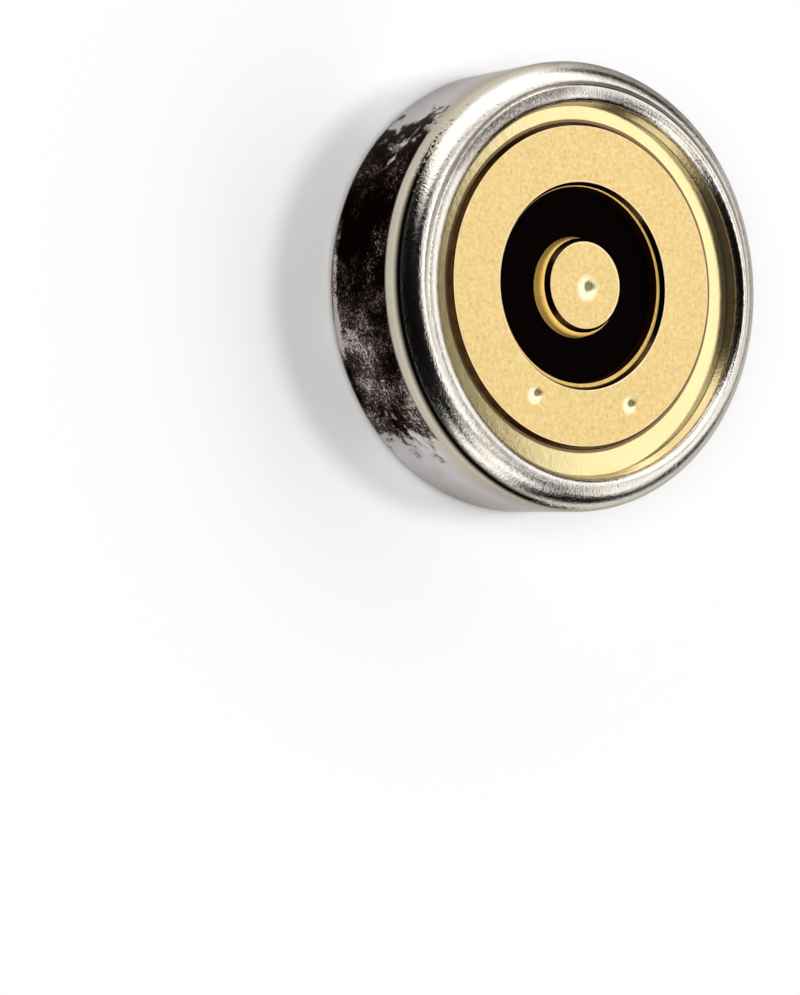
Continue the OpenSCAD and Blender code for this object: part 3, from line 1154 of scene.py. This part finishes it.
@dataclass(frozen=True)
class PlainFinish:
    """A plain colour with a shade on fine grain: brass, copper or tin as it stands.

    Attributes:
        name: Name of the material.
        colour: Its plain colour.
        shade: The colour of its blotches or, where it has none, of its grain's high spots.
        roughness: Its roughness.
        grain_depth: Depth of its grain.
        metallic: Share of it that mirrors as metal does.
        specular: Level of its plain reflection.
        shade_share: Share of the shade.
        grain: Its grain.
        blotches: Its blotches, if any.
    """

    name: str
    colour: Colour
    shade: Colour
    roughness: float
    grain_depth: float = 0.0015 * MM
    metallic: float = 1.0
    specular: float = 0.5
    shade_share: float = 0.6
    grain: Grain = Grain(12000.0, 40000.0, 0.5)
    blotches: Blotches | None = Blotches(3000.0, 0.4)

    def material(self, effects: Effects) -> bpy.types.Material:
        """Build the material.

        Args:
            effects: The shared effects.

        Returns:
            The material.
        """
        finish = Finish(self.name, self.colour, self.metallic, self.roughness)
        finish.set("Specular IOR Level", self.specular)
        n = finish.nodes
        grain = self.grain.on(n, effects)
        mask = self.blotches.mask(n, effects) if self.blotches else grain["Mask"]
        finish.set("Base Color", Tint(self.shade, self.shade_share).over(n, self.colour, mask))
        finish.bump(grain["Height"], self.grain_depth)
        return finish.material


@dataclass(frozen=True)
class NarrowGoldFinish(PlainFinish):
    """Gold on the narrow sides and ledges of the terminals, with finer grain and blotches."""

    grain: Grain = Grain(24000.0, 60000.0, 0.4)
    blotches: Blotches | None = Blotches(9000.0, 0.6)


@dataclass(frozen=True)
class FleckedFinish(PlainFinish):
    """A non-metal with flecks and no blotches: laminate, solder mask, moulded plastic or ceramic."""

    grain_depth: float = 0.002 * MM
    metallic: float = 0.0
    grain: Grain = Grain(12000.0, 36000.0, 0.4)
    blotches: Blotches | None = None


@dataclass(frozen=True)
class FilmFinish:
    """A thin polymer film, plain or metallised, whose clouds are its slight waves too."""

    name: str
    colour: Colour
    metallic: float
    roughness: float
    rough_change: Span = (0.0, 0.12)
    clouds: Blotches = Blotches(1500.0, 0.3)
    wave_depth: float = 0.001 * MM

    def material(self, effects: Effects) -> bpy.types.Material:
        """Build the material.

        Args:
            effects: The shared effects.

        Returns:
            The material.
        """
        finish = Finish(self.name, self.colour, self.metallic, self.roughness)
        clouds = self.clouds.mask(finish.nodes, effects)
        finish.set("Roughness", finish.nodes.ramp(clouds, WHOLE, offset(self.roughness, self.rough_change)))
        finish.bump(clouds, self.wave_depth)
        return finish.material


PLAIN_FINISHES = (
    # Dark brown gold of the terminals' sloping sides: painted shade.
    NarrowGoldFinish("side_gold", srgb(80, 57, 29), srgb(38, 23, 10), 0.2, 0.001 * MM),
    NarrowGoldFinish("ledge_gold", srgb(228, 194, 116), srgb(206, 166, 92), 0.35, 0.003 * MM),
    # The foils' walls: the centre foil's is a lit copy and the ground foil's a shaded copy of one gold.
    NarrowGoldFinish("wall_gold", srgb(255, 212, 112), srgb(244, 184, 84), 0.45, 0.004 * MM, 0.15),
    NarrowGoldFinish("wall_brown", srgb(120, 72, 40), srgb(70, 34, 18), 0.45, 0.004 * MM),
    # A dark joint line at the lip's foot, partly painted contact shadow.
    FleckedFinish("rim_joint", srgb(38, 20, 9), srgb(64, 38, 20), 0.5, specular=0.2),
    FleckedFinish("laminate", srgb(52, 36, 20), srgb(86, 64, 36), 0.6, specular=0.3),
    FleckedFinish("black_mask", srgb(4, 1, 1), srgb(8, 4, 3), 0.6, specular=0.01),
    FleckedFinish("black_plastic", srgb(24, 24, 25), srgb(40, 40, 42), 0.5, specular=0.4),
    FleckedFinish("ceramic", srgb(190, 160, 120), srgb(160, 130, 94), 0.6, specular=0.4),
    PlainFinish("brass", srgb(226, 190, 112), srgb(190, 150, 84), 0.3),
    PlainFinish("copper", srgb(226, 150, 112), srgb(180, 106, 76), 0.35),
    PlainFinish("tin", srgb(214, 214, 212), srgb(180, 180, 178), 0.35),
    FilmFinish("metallised_film", srgb(216, 208, 186), 1.0, 0.15),
    FilmFinish("polyester_film", srgb(226, 226, 214), 0.0, 0.3),
    FilmFinish("electret_film", srgb(232, 232, 226), 0.0, 0.2),
)


class FinishSet:
    """Every finish of the capsule."""

    def __init__(self, rim: tuple[float, float, Point], edges: tuple[float, ...],
                 dimples: tuple[Dimple, ...]) -> None:
        """Build the shared effects and the materials.

        Args:
            rim: Radius of the rim's crest, radius of its crease and middle of its crease.
            edges: Radii of the edges of the contact faces.
            dimples: The dimples in the contact faces.
        """
        effects = Effects()
        self.nickel = NickelFinish(reach("can"), *rim).material(effects)
        self.contact_gold = ContactGoldFinish(edges, dimples).material(effects)
        self.flange_gold = FlangeGoldFinish(reach("ring_terminal")).material(effects)
        self.plain = {finish.name: finish.material(effects) for finish in PLAIN_FINISHES}


@dataclass
class Can:
    """The drawn case: a front face with sound ports, a wall and a rolled rim."""

    sheet: float = 0.25 * MM
    front_edge_r: float = 0.25 * MM
    rim_r: float = 0.37 * MM
    lip_edge_r: float = 0.15 * MM
    lip_lean: float = math.radians(11)
    corner_r: float = 0.04 * MM
    crease_out: float = 0.06 * MM
    crease_w: float = 0.07 * MM
    crease_depth: float = 0.02 * MM
    crease_deepest: float = math.radians(175)
    crease_fade: float = 2.5
    lip_shift: Point = (0.065 * MM, 0.058 * MM)
    crease_shift: Point = (0.02 * MM, 0.01 * MM)
    shift_end_r: float = 2.85 * MM
    # Height of the dark joint line at the lip's foot, partly painted contact shadow.
    joint_h: float = 0.012 * MM
    port_count: int = 6
    port_d: float = 0.38 * MM
    port_pcd: float = 2.7 * MM
    port_edge: float = 0.02 * MM
    port_edge_steps: int = 4
    port_steps: int = 48
    port_open: float = 0.45
    segments: int = 288
    radius: float = field(default_factory=lambda: reach("can"))
    height: float = field(default_factory=lambda: top("can"))
    seat_z: float = field(default_factory=lambda: top("ground_foil"))

    def crest_r(self) -> float:
        """Give the radius of the rim's highest circle."""
        return self.radius - self.rim_r

    def rim(self) -> tuple[float, float, Point]:
        """Give the radius of the crest, and the radius and middle of the crease."""
        return (self.crest_r(), self.crest_r() + self.crease_out, self.crease_shift)

    def lip_corner_r(self) -> float:
        """Give the radius where the lip's leaning side would meet the rim's top."""
        return self.crest_r() - self.lip_edge_r * math.tan((math.pi / 2 - self.lip_lean) / 2)

    def lip_r(self) -> float:
        """Give the radius of the lip's foot on the board."""
        return self.lip_corner_r() - (self.height - self.seat_z) * math.tan(self.lip_lean)

    def crease(self, r: float, angle: float) -> float:
        """Give the depth that the crimping tool's crease has at a place on the rim.

        Args:
            r: Distance from the axis.
            angle: Direction from the axis.

        Returns:
            The depth, which fades away on the side across from its deepest place.
        """
        off = min(1.0, abs(r - self.crest_r() - self.crease_out) / (self.crease_w / 2))
        share = ((1 + math.cos(angle - self.crease_deepest)) / 2) ** self.crease_fade
        return self.crease_depth * share * (1 + math.cos(math.pi * off)) / 2

    def shift(self, r: float) -> Vector:
        """Give how far the crimp has pushed the rim sideways at a radius.

        Args:
            r: Radius before the push.

        Returns:
            The sideways push: full at the lip and none on the outer roll.
        """
        crease_r = self.crest_r() + self.crease_out
        lip, crease = Vector(self.lip_shift), Vector(self.crease_shift)
        if r < crease_r:
            inner_r = self.lip_corner_r()
            share = min(1.0, max(0.0, (r - inner_r) / (crease_r - inner_r)))
            return lip.lerp(crease, share)
        share = min(1.0, (r - crease_r) / (self.shift_end_r - crease_r))
        return crease * (1 - share) ** 2

    def port_centres(self) -> list[Point]:
        """Give the centres of the sound ports."""
        turns = [i * 2 * math.pi / self.port_count for i in range(self.port_count)]
        return [(self.port_pcd / 2 * math.cos(turn), self.port_pcd / 2 * math.sin(turn)) for turn in turns]

    def corners(self) -> list[Corner]:
        """Give the outline of the wall and the rim.

        Returns:
            The corners from the front face round the rim to the inner face.
        """
        inner_r = self.radius - self.sheet
        return [
            Corner(self.radius - self.front_edge_r, 0.0),
            Corner(self.radius, 0.0, self.front_edge_r),
            Corner(self.radius, self.height, self.rim_r, step=1.0),
            Corner(self.lip_corner_r(), self.height, self.lip_edge_r, step=3.0, cuts=12),
            Corner(self.lip_r(), self.seat_z, 0.0),
            Corner(inner_r, self.seat_z, self.corner_r),
            Corner(inner_r, self.sheet, self.corner_r),
            Corner(inner_r - self.corner_r, self.sheet),
        ]

    def _pierced_disc(self, work: bmesh.types.BMesh, rim: Corners, holes: list[Corners]) -> None:
        """Fill the flat area between a round rim and the ports.

        Args:
            work: The mesh under construction.
            rim: Corners of the outer circle, in order.
            holes: Corners of each port's circle, in order.
        """
        loops = [rim, *holes]
        verts = [v for loop in loops for v in loop]
        edges, start = [], 0
        for loop in loops:
            edges += [(start + k, start + (k + 1) % len(loop)) for k in range(len(loop))]
            start += len(loop)
        flat = [Vector((v.co.x / MM, v.co.y / MM)) for v in verts]
        _, _, faces, originals, _, _ = delaunay_2d_cdt(flat, edges, [], CDT_INSIDE, CDT_SAME)
        for face in faces:
            corners = [verts[originals[i][0]] for i in face]
            middle = sum((v.co for v in corners), Vector()) / len(corners)
            away = min(math.hypot(middle.x - x, middle.y - y) for x, y in self.port_centres())
            if away > self.port_d * self.port_open and len(set(corners)) > 2:
                work.faces.new(corners)

    def _shell(self, work: bmesh.types.BMesh) -> list[Corners]:
        """Add the wall and the rolled rim.

        Args:
            work: The mesh under construction.

        Returns:
            The circles of the outline's points, in order.
        """
        outline = turned_outline(self.corners(), closed=False)
        rings = []
        for p in outline:
            on_rim = p.z > self.height - self.rim_r
            in_mouth = p.z > self.seat_z - SAME_POINT and p.r < self.crest_r()
            push = self.shift(p.r) if on_rim or in_mouth else Vector((0.0, 0.0))
            ring = []
            for k in range(self.segments):
                angle = 2 * math.pi * k / self.segments
                x, y = p.r * math.cos(angle) + push.x, p.r * math.sin(angle) + push.y
                drop = self.crease(p.r, angle) if on_rim else 0.0
                ring.append(work.verts.new((x, y, p.z - drop)))
            rings.append(ring)
        for p, near, far in zip(outline, rings, rings[1:]):
            # The dark joint line at the lip's foot, partly painted contact shadow.
            in_joint_and_shadow = p.r < self.crest_r() and self.seat_z < p.z < self.seat_z + self.joint_h
            join_circles(work, near, far, int(in_joint_and_shadow))
        return rings

    def _port(self, work: bmesh.types.BMesh, centre: Point) -> list[Corners]:
        """Add the wall of one sound port, rounded at its outer edge.

        Args:
            work: The mesh under construction.
            centre: The port's centre.

        Returns:
            The wall's circles, from the outer face to the inner one.
        """
        port_r = self.port_d / 2
        levels = []
        for step in range(self.port_edge_steps + 1):
            turn = math.pi / 2 * step / self.port_edge_steps
            swell = self.port_edge * (1 - math.sin(turn))
            levels.append((port_r + swell, self.port_edge * (1 - math.cos(turn))))
        levels.append((port_r, self.sheet))
        circles = [circle(work, r, z, self.port_steps, centre) for r, z in levels]
        for near, far in zip(circles, circles[1:]):
            join_circles(work, near, far)
        return circles

    def build(self, finishes: FinishSet) -> bpy.types.Object:
        """Build the can and dress it.

        Args:
            finishes: Every finish.

        Returns:
            The can's piece.
        """
        work = bmesh.new()
        rings = self._shell(work)
        ports = [self._port(work, centre) for centre in self.port_centres()]
        for end in (0, -1):
            self._pierced_disc(work, rings[end], [circles[end] for circles in ports])
        # The second finish is the dark joint line, partly painted contact shadow.
        mats = [finishes.nickel, finishes.plain["rim_joint"]]
        return new_piece("can_shell", finished_mesh("can_shell", work), mats, "can")


@dataclass
class Terminals:
    """The raised metal terminals with their sloping sides, their foils and the mask between them."""

    slope_w: float = 0.045 * MM
    edge_r: float = 0.012 * MM
    ledge_edge_r: float = 0.006 * MM
    shoulder_r: float = 0.06 * MM
    pad_shift: Point = (-0.011 * MM, 0.016 * MM)
    pad_foil_shift: Point = (0.008 * MM, -0.012 * MM)
    ledge_grow: float = 0.02 * MM
    ledge_shift: Point = (-0.018 * MM, -0.018 * MM)
    ring_dimples: tuple[Dimple, ...] = (
        Dimple("ground_via_1", 0.29 * MM, (-0.004 * MM, -0.02 * MM), 0.11 * MM, (-0.035 * MM, 0.055 * MM)),
        Dimple("ground_via_2", 0.29 * MM, (-0.02 * MM, -0.022 * MM), 0.11 * MM, (-0.04 * MM, 0.038 * MM)),
    )
    centre_dimple: Dimple = Dimple("output_via", 0.42 * MM, (0.03 * MM, 0.0), 0.15 * MM,
                                   (0.01 * MM, 0.055 * MM))
    ring_segments: int = 720
    pad_segments: int = 288
    face_z: float = field(default_factory=lambda: top("ring_terminal"))
    foil_z: float = field(default_factory=lambda: top("ground_foil"))
    board_z: float = field(default_factory=lambda: top("board"))

    def edges(self) -> tuple[float, ...]:
        """Give the radii of the edges of both contact faces."""
        return (bore("ring_terminal") + self.slope_w, reach("ring_terminal") - self.slope_w,
                reach("centre_terminal") - self.slope_w)

    def dimples(self) -> tuple[Dimple, ...]:
        """Give every dimple of the contact faces."""
        return (*self.ring_dimples, self.centre_dimple)

    def ring(self, finishes: FinishSet) -> None:
        """Build the ring terminal.

        Args:
            finishes: Every finish.
        """
        inner, outer = bore("ring_terminal"), reach("ring_terminal")
        corners = [
            Corner(inner, self.foil_z, 0.0, slot=1),
            Corner(inner + self.slope_w, self.face_z, self.edge_r, slot=0, cuts=72),
            Corner(outer - self.slope_w, self.face_z, self.edge_r, slot=1),
            Corner(outer, self.foil_z, 0.0, slot=1),
        ]
        mesh = turned_mesh("ring_contact", corners, True, self.ring_segments)
        for dimple in self.ring_dimples:
            dimple.press(mesh, self.face_z - self.edge_r)
        # The sloping sides get dark gold: painted shade.
        mats = [finishes.contact_gold, finishes.plain["side_gold"]]
        new_piece("ring_contact", mesh, mats, "ring_terminal")

    def centre(self, finishes: FinishSet) -> None:
        """Build the centre terminal.

        Args:
            finishes: Every finish.
        """
        outer = reach("centre_terminal")
        corners = [
            Corner(0.0, self.face_z, 0.0, slot=0, cuts=56),
            Corner(outer - self.slope_w, self.face_z, self.edge_r, slot=1),
            Corner(outer, self.foil_z, 0.0, slot=1),
            Corner(0.0, self.foil_z, 0.0, slot=1),
        ]
        mesh = turned_mesh("centre_contact", corners, False, self.pad_segments)
        mesh.transform(Matrix.Translation((*self.pad_shift, 0.0)))
        self.centre_dimple.press(mesh, self.face_z - self.edge_r)
        # The sloping side gets dark gold: painted shade.
        mats = [finishes.contact_gold, finishes.plain["side_gold"]]
        new_piece("centre_contact", mesh, mats, "centre_terminal")

    def flange(self, finishes: FinishSet) -> None:
        """Build the ground foil, whose ledge shows inside the ring terminal.

        Args:
            finishes: Every finish.
        """
        upper_edge = min(radii("ground_foil", self.foil_z - SAME_POINT))
        corners = [
            Corner(reach("solder_mask") + self.ledge_grow, self.board_z, 0.0, slot=2),
            Corner(upper_edge + self.ledge_grow, self.foil_z, self.ledge_edge_r, slot=1),
            Corner(bore("ring_terminal") + self.slope_w, self.foil_z, 0.0, slot=0),
            Corner(reach("ground_foil"), self.foil_z, self.edge_r, slot=0),
            Corner(reach("ground_foil"), self.board_z, 0.0, slot=0),
        ]
        mesh = turned_mesh("flange", corners, True, self.pad_segments)
        hidden_r = bore("ring_terminal")
        for vertex in mesh.vertices:
            if math.hypot(vertex.co.x, vertex.co.y) < hidden_r:
                vertex.co.x += self.ledge_shift[0]
                vertex.co.y += self.ledge_shift[1]
        # The third finish, the ground foil's wall, is the shaded copy of the walls' gold.
        mats = [finishes.flange_gold, finishes.plain["ledge_gold"], finishes.plain["wall_brown"]]
        new_piece("flange", mesh, mats, "ground_foil")

    def centre_foil(self, finishes: FinishSet) -> None:
        """Build the foil under the centre terminal, with its ledge.

        Args:
            finishes: Every finish.
        """
        upper_edge = max(radii("output_foil", self.foil_z - SAME_POINT))
        corners = [
            Corner(0.0, self.foil_z, 0.0, slot=0),
            Corner(upper_edge, self.foil_z, self.shoulder_r, slot=1),
            Corner(upper_edge, self.foil_z - self.shoulder_r, 0.0, slot=1),
            Corner(bore("solder_mask"), self.board_z, 0.0, slot=0),
            Corner(0.0, self.board_z, 0.0, slot=0),
        ]
        mesh = turned_mesh("centre_foil", corners, False, self.pad_segments)
        mesh.transform(Matrix.Translation((*self.pad_foil_shift, 0.0)))
        # The second finish, the centre foil's wall, is the lit copy of the walls' gold.
        mats = [finishes.plain["ledge_gold"], finishes.plain["wall_gold"]]
        new_piece("centre_foil", mesh, mats, "output_foil")

    def mask(self, finishes: FinishSet) -> None:
        """Build the mask on the floor of the groove.

        Args:
            finishes: Every finish.
        """
        inner, outer = bore("solder_mask"), reach("solder_mask") + 2 * self.ledge_grow
        corners = [
            Corner(inner, self.board_z, 0.0),
            Corner(inner, top("solder_mask"), 0.0),
            Corner(outer, top("solder_mask"), 0.0),
            Corner(outer, self.board_z, 0.0),
        ]
        mesh = turned_mesh("groove_mask", corners, True, self.pad_segments)
        new_piece("groove_mask", mesh, [finishes.plain["black_mask"]], "solder_mask")

    def build(self, finishes: FinishSet) -> None:
        """Build and dress the terminal side."""
        for piece in (self.ring, self.centre, self.flange, self.centre_foil, self.mask):
            piece(finishes)


@dataclass(frozen=True)
class Inside:
    """The pieces inside the can, which keep their CAD form: the CAD nodes of each plain finish."""

    brass: tuple[str, ...] = ("diaphragm_ring", "back_plate", "contact_ring")
    metallised_film: tuple[str, ...] = ("diaphragm",)
    polyester_film: tuple[str, ...] = ("spacer",)
    electret_film: tuple[str, ...] = ("electret_film",)
    black_plastic: tuple[str, ...] = ("holder", "fet_body")
    laminate: tuple[str, ...] = ("board",)
    copper: tuple[str, ...] = ("ground_via_1", "ground_via_2", "output_via", "gate_track", "output_track",
                               "ground_track")
    tin: tuple[str, ...] = ("gate_lead", "source_lead", "drain_lead", "capacitor_1_output_end",
                            "capacitor_1_ground_end", "capacitor_2_output_end", "capacitor_2_ground_end")
    ceramic: tuple[str, ...] = ("capacitor_1_body", "capacitor_2_body")

    def build(self, finishes: FinishSet) -> None:
        """Give each inner piece its finish.

        Args:
            finishes: Every finish.
        """
        for name, nodes in asdict(self).items():
            for node in nodes:
                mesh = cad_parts[node].data
                mesh.materials.clear()
                mesh.materials.append(finishes.plain[name])
                LOG.info("%s: %s", node, name)


class LitBy(Enum):
    """What a lamp reaches: everything, only glossy reflections, or only matt surfaces."""

    ALL = "all"
    GLOSSY = "glossy"
    MATT = "matt"

    def apply(self, lamp: bpy.types.Object) -> None:
        """Set what a lamp is seen by; none is seen by the camera.

        Args:
            lamp: The lamp.
        """
        lamp.visible_camera = False
        lamp.visible_diffuse = self is not LitBy.GLOSSY
        lamp.visible_glossy = self is not LitBy.MATT


def towards(azimuth: float, elevation: float) -> Vector:
    """Give the direction of an azimuth from +X and an elevation, both in degrees."""
    across, rise = math.radians(azimuth), math.radians(elevation)
    return Vector((math.cos(across) * math.cos(rise), math.sin(across) * math.cos(rise), math.sin(rise)))


def place_lamp(light: bpy.types.Light, direction: Vector, distance: float, reaches: LitBy) -> None:
    """Put a light in the scene, turned to the capsule.

    Args:
        light: The light, with its name and strength.
        direction: Direction that it stands in.
        distance: How far off it stands.
        reaches: Which surfaces it lights.
    """
    lamp = bpy.data.objects.new(light.name, light)
    bpy.context.scene.collection.objects.link(lamp)
    lamp.location = direction * distance
    lamp.rotation_euler = direction.to_track_quat("Z", "Y").to_euler()
    reaches.apply(lamp)


@dataclass(frozen=True)
class SoftBox:
    """A rectangular soft lamp that faces the capsule.

    Attributes:
        name: Name of the lamp.
        azimuth: Direction that it stands in, in degrees from +X.
        elevation: Height of its middle above the floor, in degrees.
        width: Angle that it fills sideways, in degrees.
        height: Angle that it fills upward, in degrees.
        level: Brightness of its surface, where 1 shows as white.
        reaches: Which surfaces it lights.
        distance: How far off it stands.
    """

    name: str
    azimuth: float
    elevation: float
    width: float
    height: float
    level: float
    reaches: LitBy = LitBy.ALL
    distance: float = 150 * MM

    def build(self) -> None:
        """Put the lamp in the scene."""
        light = bpy.data.lights.new(self.name, "AREA")
        light.shape = "RECTANGLE"
        light.size = 2 * self.distance * math.tan(math.radians(self.width) / 2)
        light.size_y = 2 * self.distance * math.tan(math.radians(self.height) / 2)
        light.energy = self.level * math.pi * light.size * light.size_y
        place_lamp(light, towards(self.azimuth, self.elevation), self.distance, self.reaches)


@dataclass(frozen=True)
class DistantLamp:
    """A distant lamp that lights the floor, where it casts the capsule's shadow.

    Attributes:
        name: Name of the lamp.
        azimuth: Direction that it stands in, in degrees from +X.
        elevation: Height above the floor, in degrees.
        spread: Angle that it fills, in degrees.
        level: Strength of its light.
    """

    name: str
    azimuth: float
    elevation: float
    spread: float
    level: float

    def build(self) -> None:
        """Put the lamp in the scene."""
        light = bpy.data.lights.new(self.name, "SUN")
        light.angle = math.radians(self.spread)
        light.energy = self.level
        place_lamp(light, towards(self.azimuth, self.elevation), 0.0, LitBy.MATT)


@dataclass
class Studio:
    """The floor, the lamps and the world.

    Attributes:
        floor_size: Length of the floor's sides.
        floor_colour: Its colour.
        floor_roughness: Its roughness.
        white_from: Radii over which the floor turns white to the camera.
        lift: Share of white at the end of them.
        world_colour: The dim light of the surroundings.
        lamps: The lamps.
    """

    floor_size: float = 1.2
    floor_colour: Colour = (0.9, 0.9, 0.9, 1.0)
    floor_roughness: float = 0.9
    white_from: Span = (3.8 * MM, 8.0 * MM)
    lift: float = 0.9
    world_colour: Colour = (0.004, 0.004, 0.0042, 1.0)
    lamps: tuple[SoftBox | DistantLamp, ...] = (
        SoftBox("back_box", 96.0, 41.6, 98.0, 28.0, 1.45),
        SoftBox("low_box", 90.0, 18.5, 36.0, 18.0, 1.1, LitBy.GLOSSY),
        SoftBox("overhead_box", 90.0, 78.0, 50.0, 27.0, 1.8, LitBy.GLOSSY),
        SoftBox("left_box", 178.0, 29.0, 64.0, 56.0, 1.8, LitBy.GLOSSY),
        SoftBox("right_box", -16.0, 20.0, 32.0, 24.0, 1.6, LitBy.GLOSSY),
        SoftBox("right_high_box", 3.0, 45.0, 28.0, 26.0, 1.6, LitBy.GLOSSY),
        DistantLamp("key_lamp", 90.0, 63.0, 12.0, 0.95),
        DistantLamp("fill_lamp", -90.0, 60.0, 50.0, 2.2),
    )

    def floor(self) -> None:
        """Lay the pale floor, whose far part shows to the camera as white."""
        mesh = bpy.data.meshes.new("floor")
        half = self.floor_size / 2
        square = [(-half, -half, 0), (half, -half, 0), (half, half, 0), (-half, half, 0)]
        mesh.from_pydata(square, [], [(0, 1, 2, 3)])
        floor = bpy.data.objects.new("floor", mesh)
        bpy.context.scene.collection.objects.link(floor)
        finish = Finish("floor_paper", self.floor_colour, 0.0, self.floor_roughness)
        finish.set("Specular IOR Level", 0.0)
        n = finish.nodes
        x, y, _ = n.split(n.here())
        far = n.ramp(n.length(x, y), self.white_from, (0.0, self.lift))
        path = n.add("ShaderNodeLightPath").outputs
        seen = n.maths("MAXIMUM", path["Is Camera Ray"], path["Is Glossy Ray"])
        seen = n.maths("MAXIMUM", seen, path["Is Transmission Ray"])
        glow = n.add("ShaderNodeEmission")
        glow.inputs["Strength"].default_value = 1.0
        mix = n.add("ShaderNodeMixShader")
        for number, source in enumerate((n.times(far, seen), finish.shader.outputs[0], glow.outputs[0])):
            n.join(source, mix.inputs[number])
        output = finish.material.node_tree.nodes["Material Output"]
        n.join(mix.outputs[0], output.inputs["Surface"])
        mesh.materials.append(finish.material)

    def world(self) -> None:
        """Set the dim plain surroundings."""
        world = bpy.data.worlds.new("surroundings")
        world.use_nodes = True
        background = world.node_tree.nodes["Background"]
        background.inputs["Color"].default_value = self.world_colour
        background.inputs["Strength"].default_value = 1.0
        bpy.context.scene.world = world

    def build(self) -> None:
        """Build the studio."""
        self.floor()
        self.world()
        for lamp in self.lamps:
            lamp.build()
            LOG.info("%s: azimuth %.0f, elevation %.0f", lamp.name, lamp.azimuth, lamp.elevation)


@dataclass
class PhotoCamera:
    """The camera that saw the photograph, in the row frame.

    Attributes:
        elevation: Height above the terminal face's plane, in degrees.
        distance: Distance from the middle of the terminal face.
        aim_x: Where the camera's axis meets the terminal face's plane.
        aim_y: Where the camera's axis meets the terminal face's plane.
        axis_rise: How far the capsule's axis rises in the picture, in degrees.
        lens: Focal length in millimetres.
        film: The film's long side in millimetres.
        clip: Distances that the camera sees.
    """

    elevation: float = 51.947
    distance: float = 41.44 * MM
    aim_x: float = 2.4403 * MM
    aim_y: float = -3.286 * MM
    axis_rise: float = 0.537
    lens: float = 112.474
    film: float = 36.0
    clip: Span = (0.001, 2.0)

    def build(self) -> None:
        """Put the camera in the scene and make it the scene's own."""
        face = Vector((0, 0, top("ring_terminal")))
        tilt = math.radians(self.elevation)
        location = face + Vector((0, -math.cos(tilt), math.sin(tilt))) * self.distance
        forward = (face + Vector((self.aim_x, self.aim_y, 0)) - location).normalized()
        right = Vector((0, 0, 1)) - forward * forward.z
        right = Matrix.Rotation(math.radians(self.axis_rise), 3, forward) @ right.normalized()
        up = right.cross(forward)
        pose = Matrix((right, up, -forward)).transposed().to_4x4()
        pose.translation = location
        data = bpy.data.cameras.new("photo_camera")
        data.lens = self.lens
        data.sensor_width = self.film
        data.clip_start, data.clip_end = self.clip
        camera = bpy.data.objects.new("photo_camera", data)
        bpy.context.scene.collection.objects.link(camera)
        camera.matrix_world = pose
        bpy.context.scene.camera = camera


def main() -> None:
    """Build the camera, the capsule's pieces and the studio."""
    logging.basicConfig(level=logging.INFO, format="%(name)s %(message)s")
    PhotoCamera().build()
    can, terminals = Can(), Terminals()
    finishes = FinishSet(can.rim(), terminals.edges(), terminals.dimples())
    can.build(finishes)
    terminals.build(finishes)
    Inside().build(finishes)
    Studio().build()
    bpy.context.scene.view_settings.view_transform = "Standard"


if __name__ == "__main__":
    main()
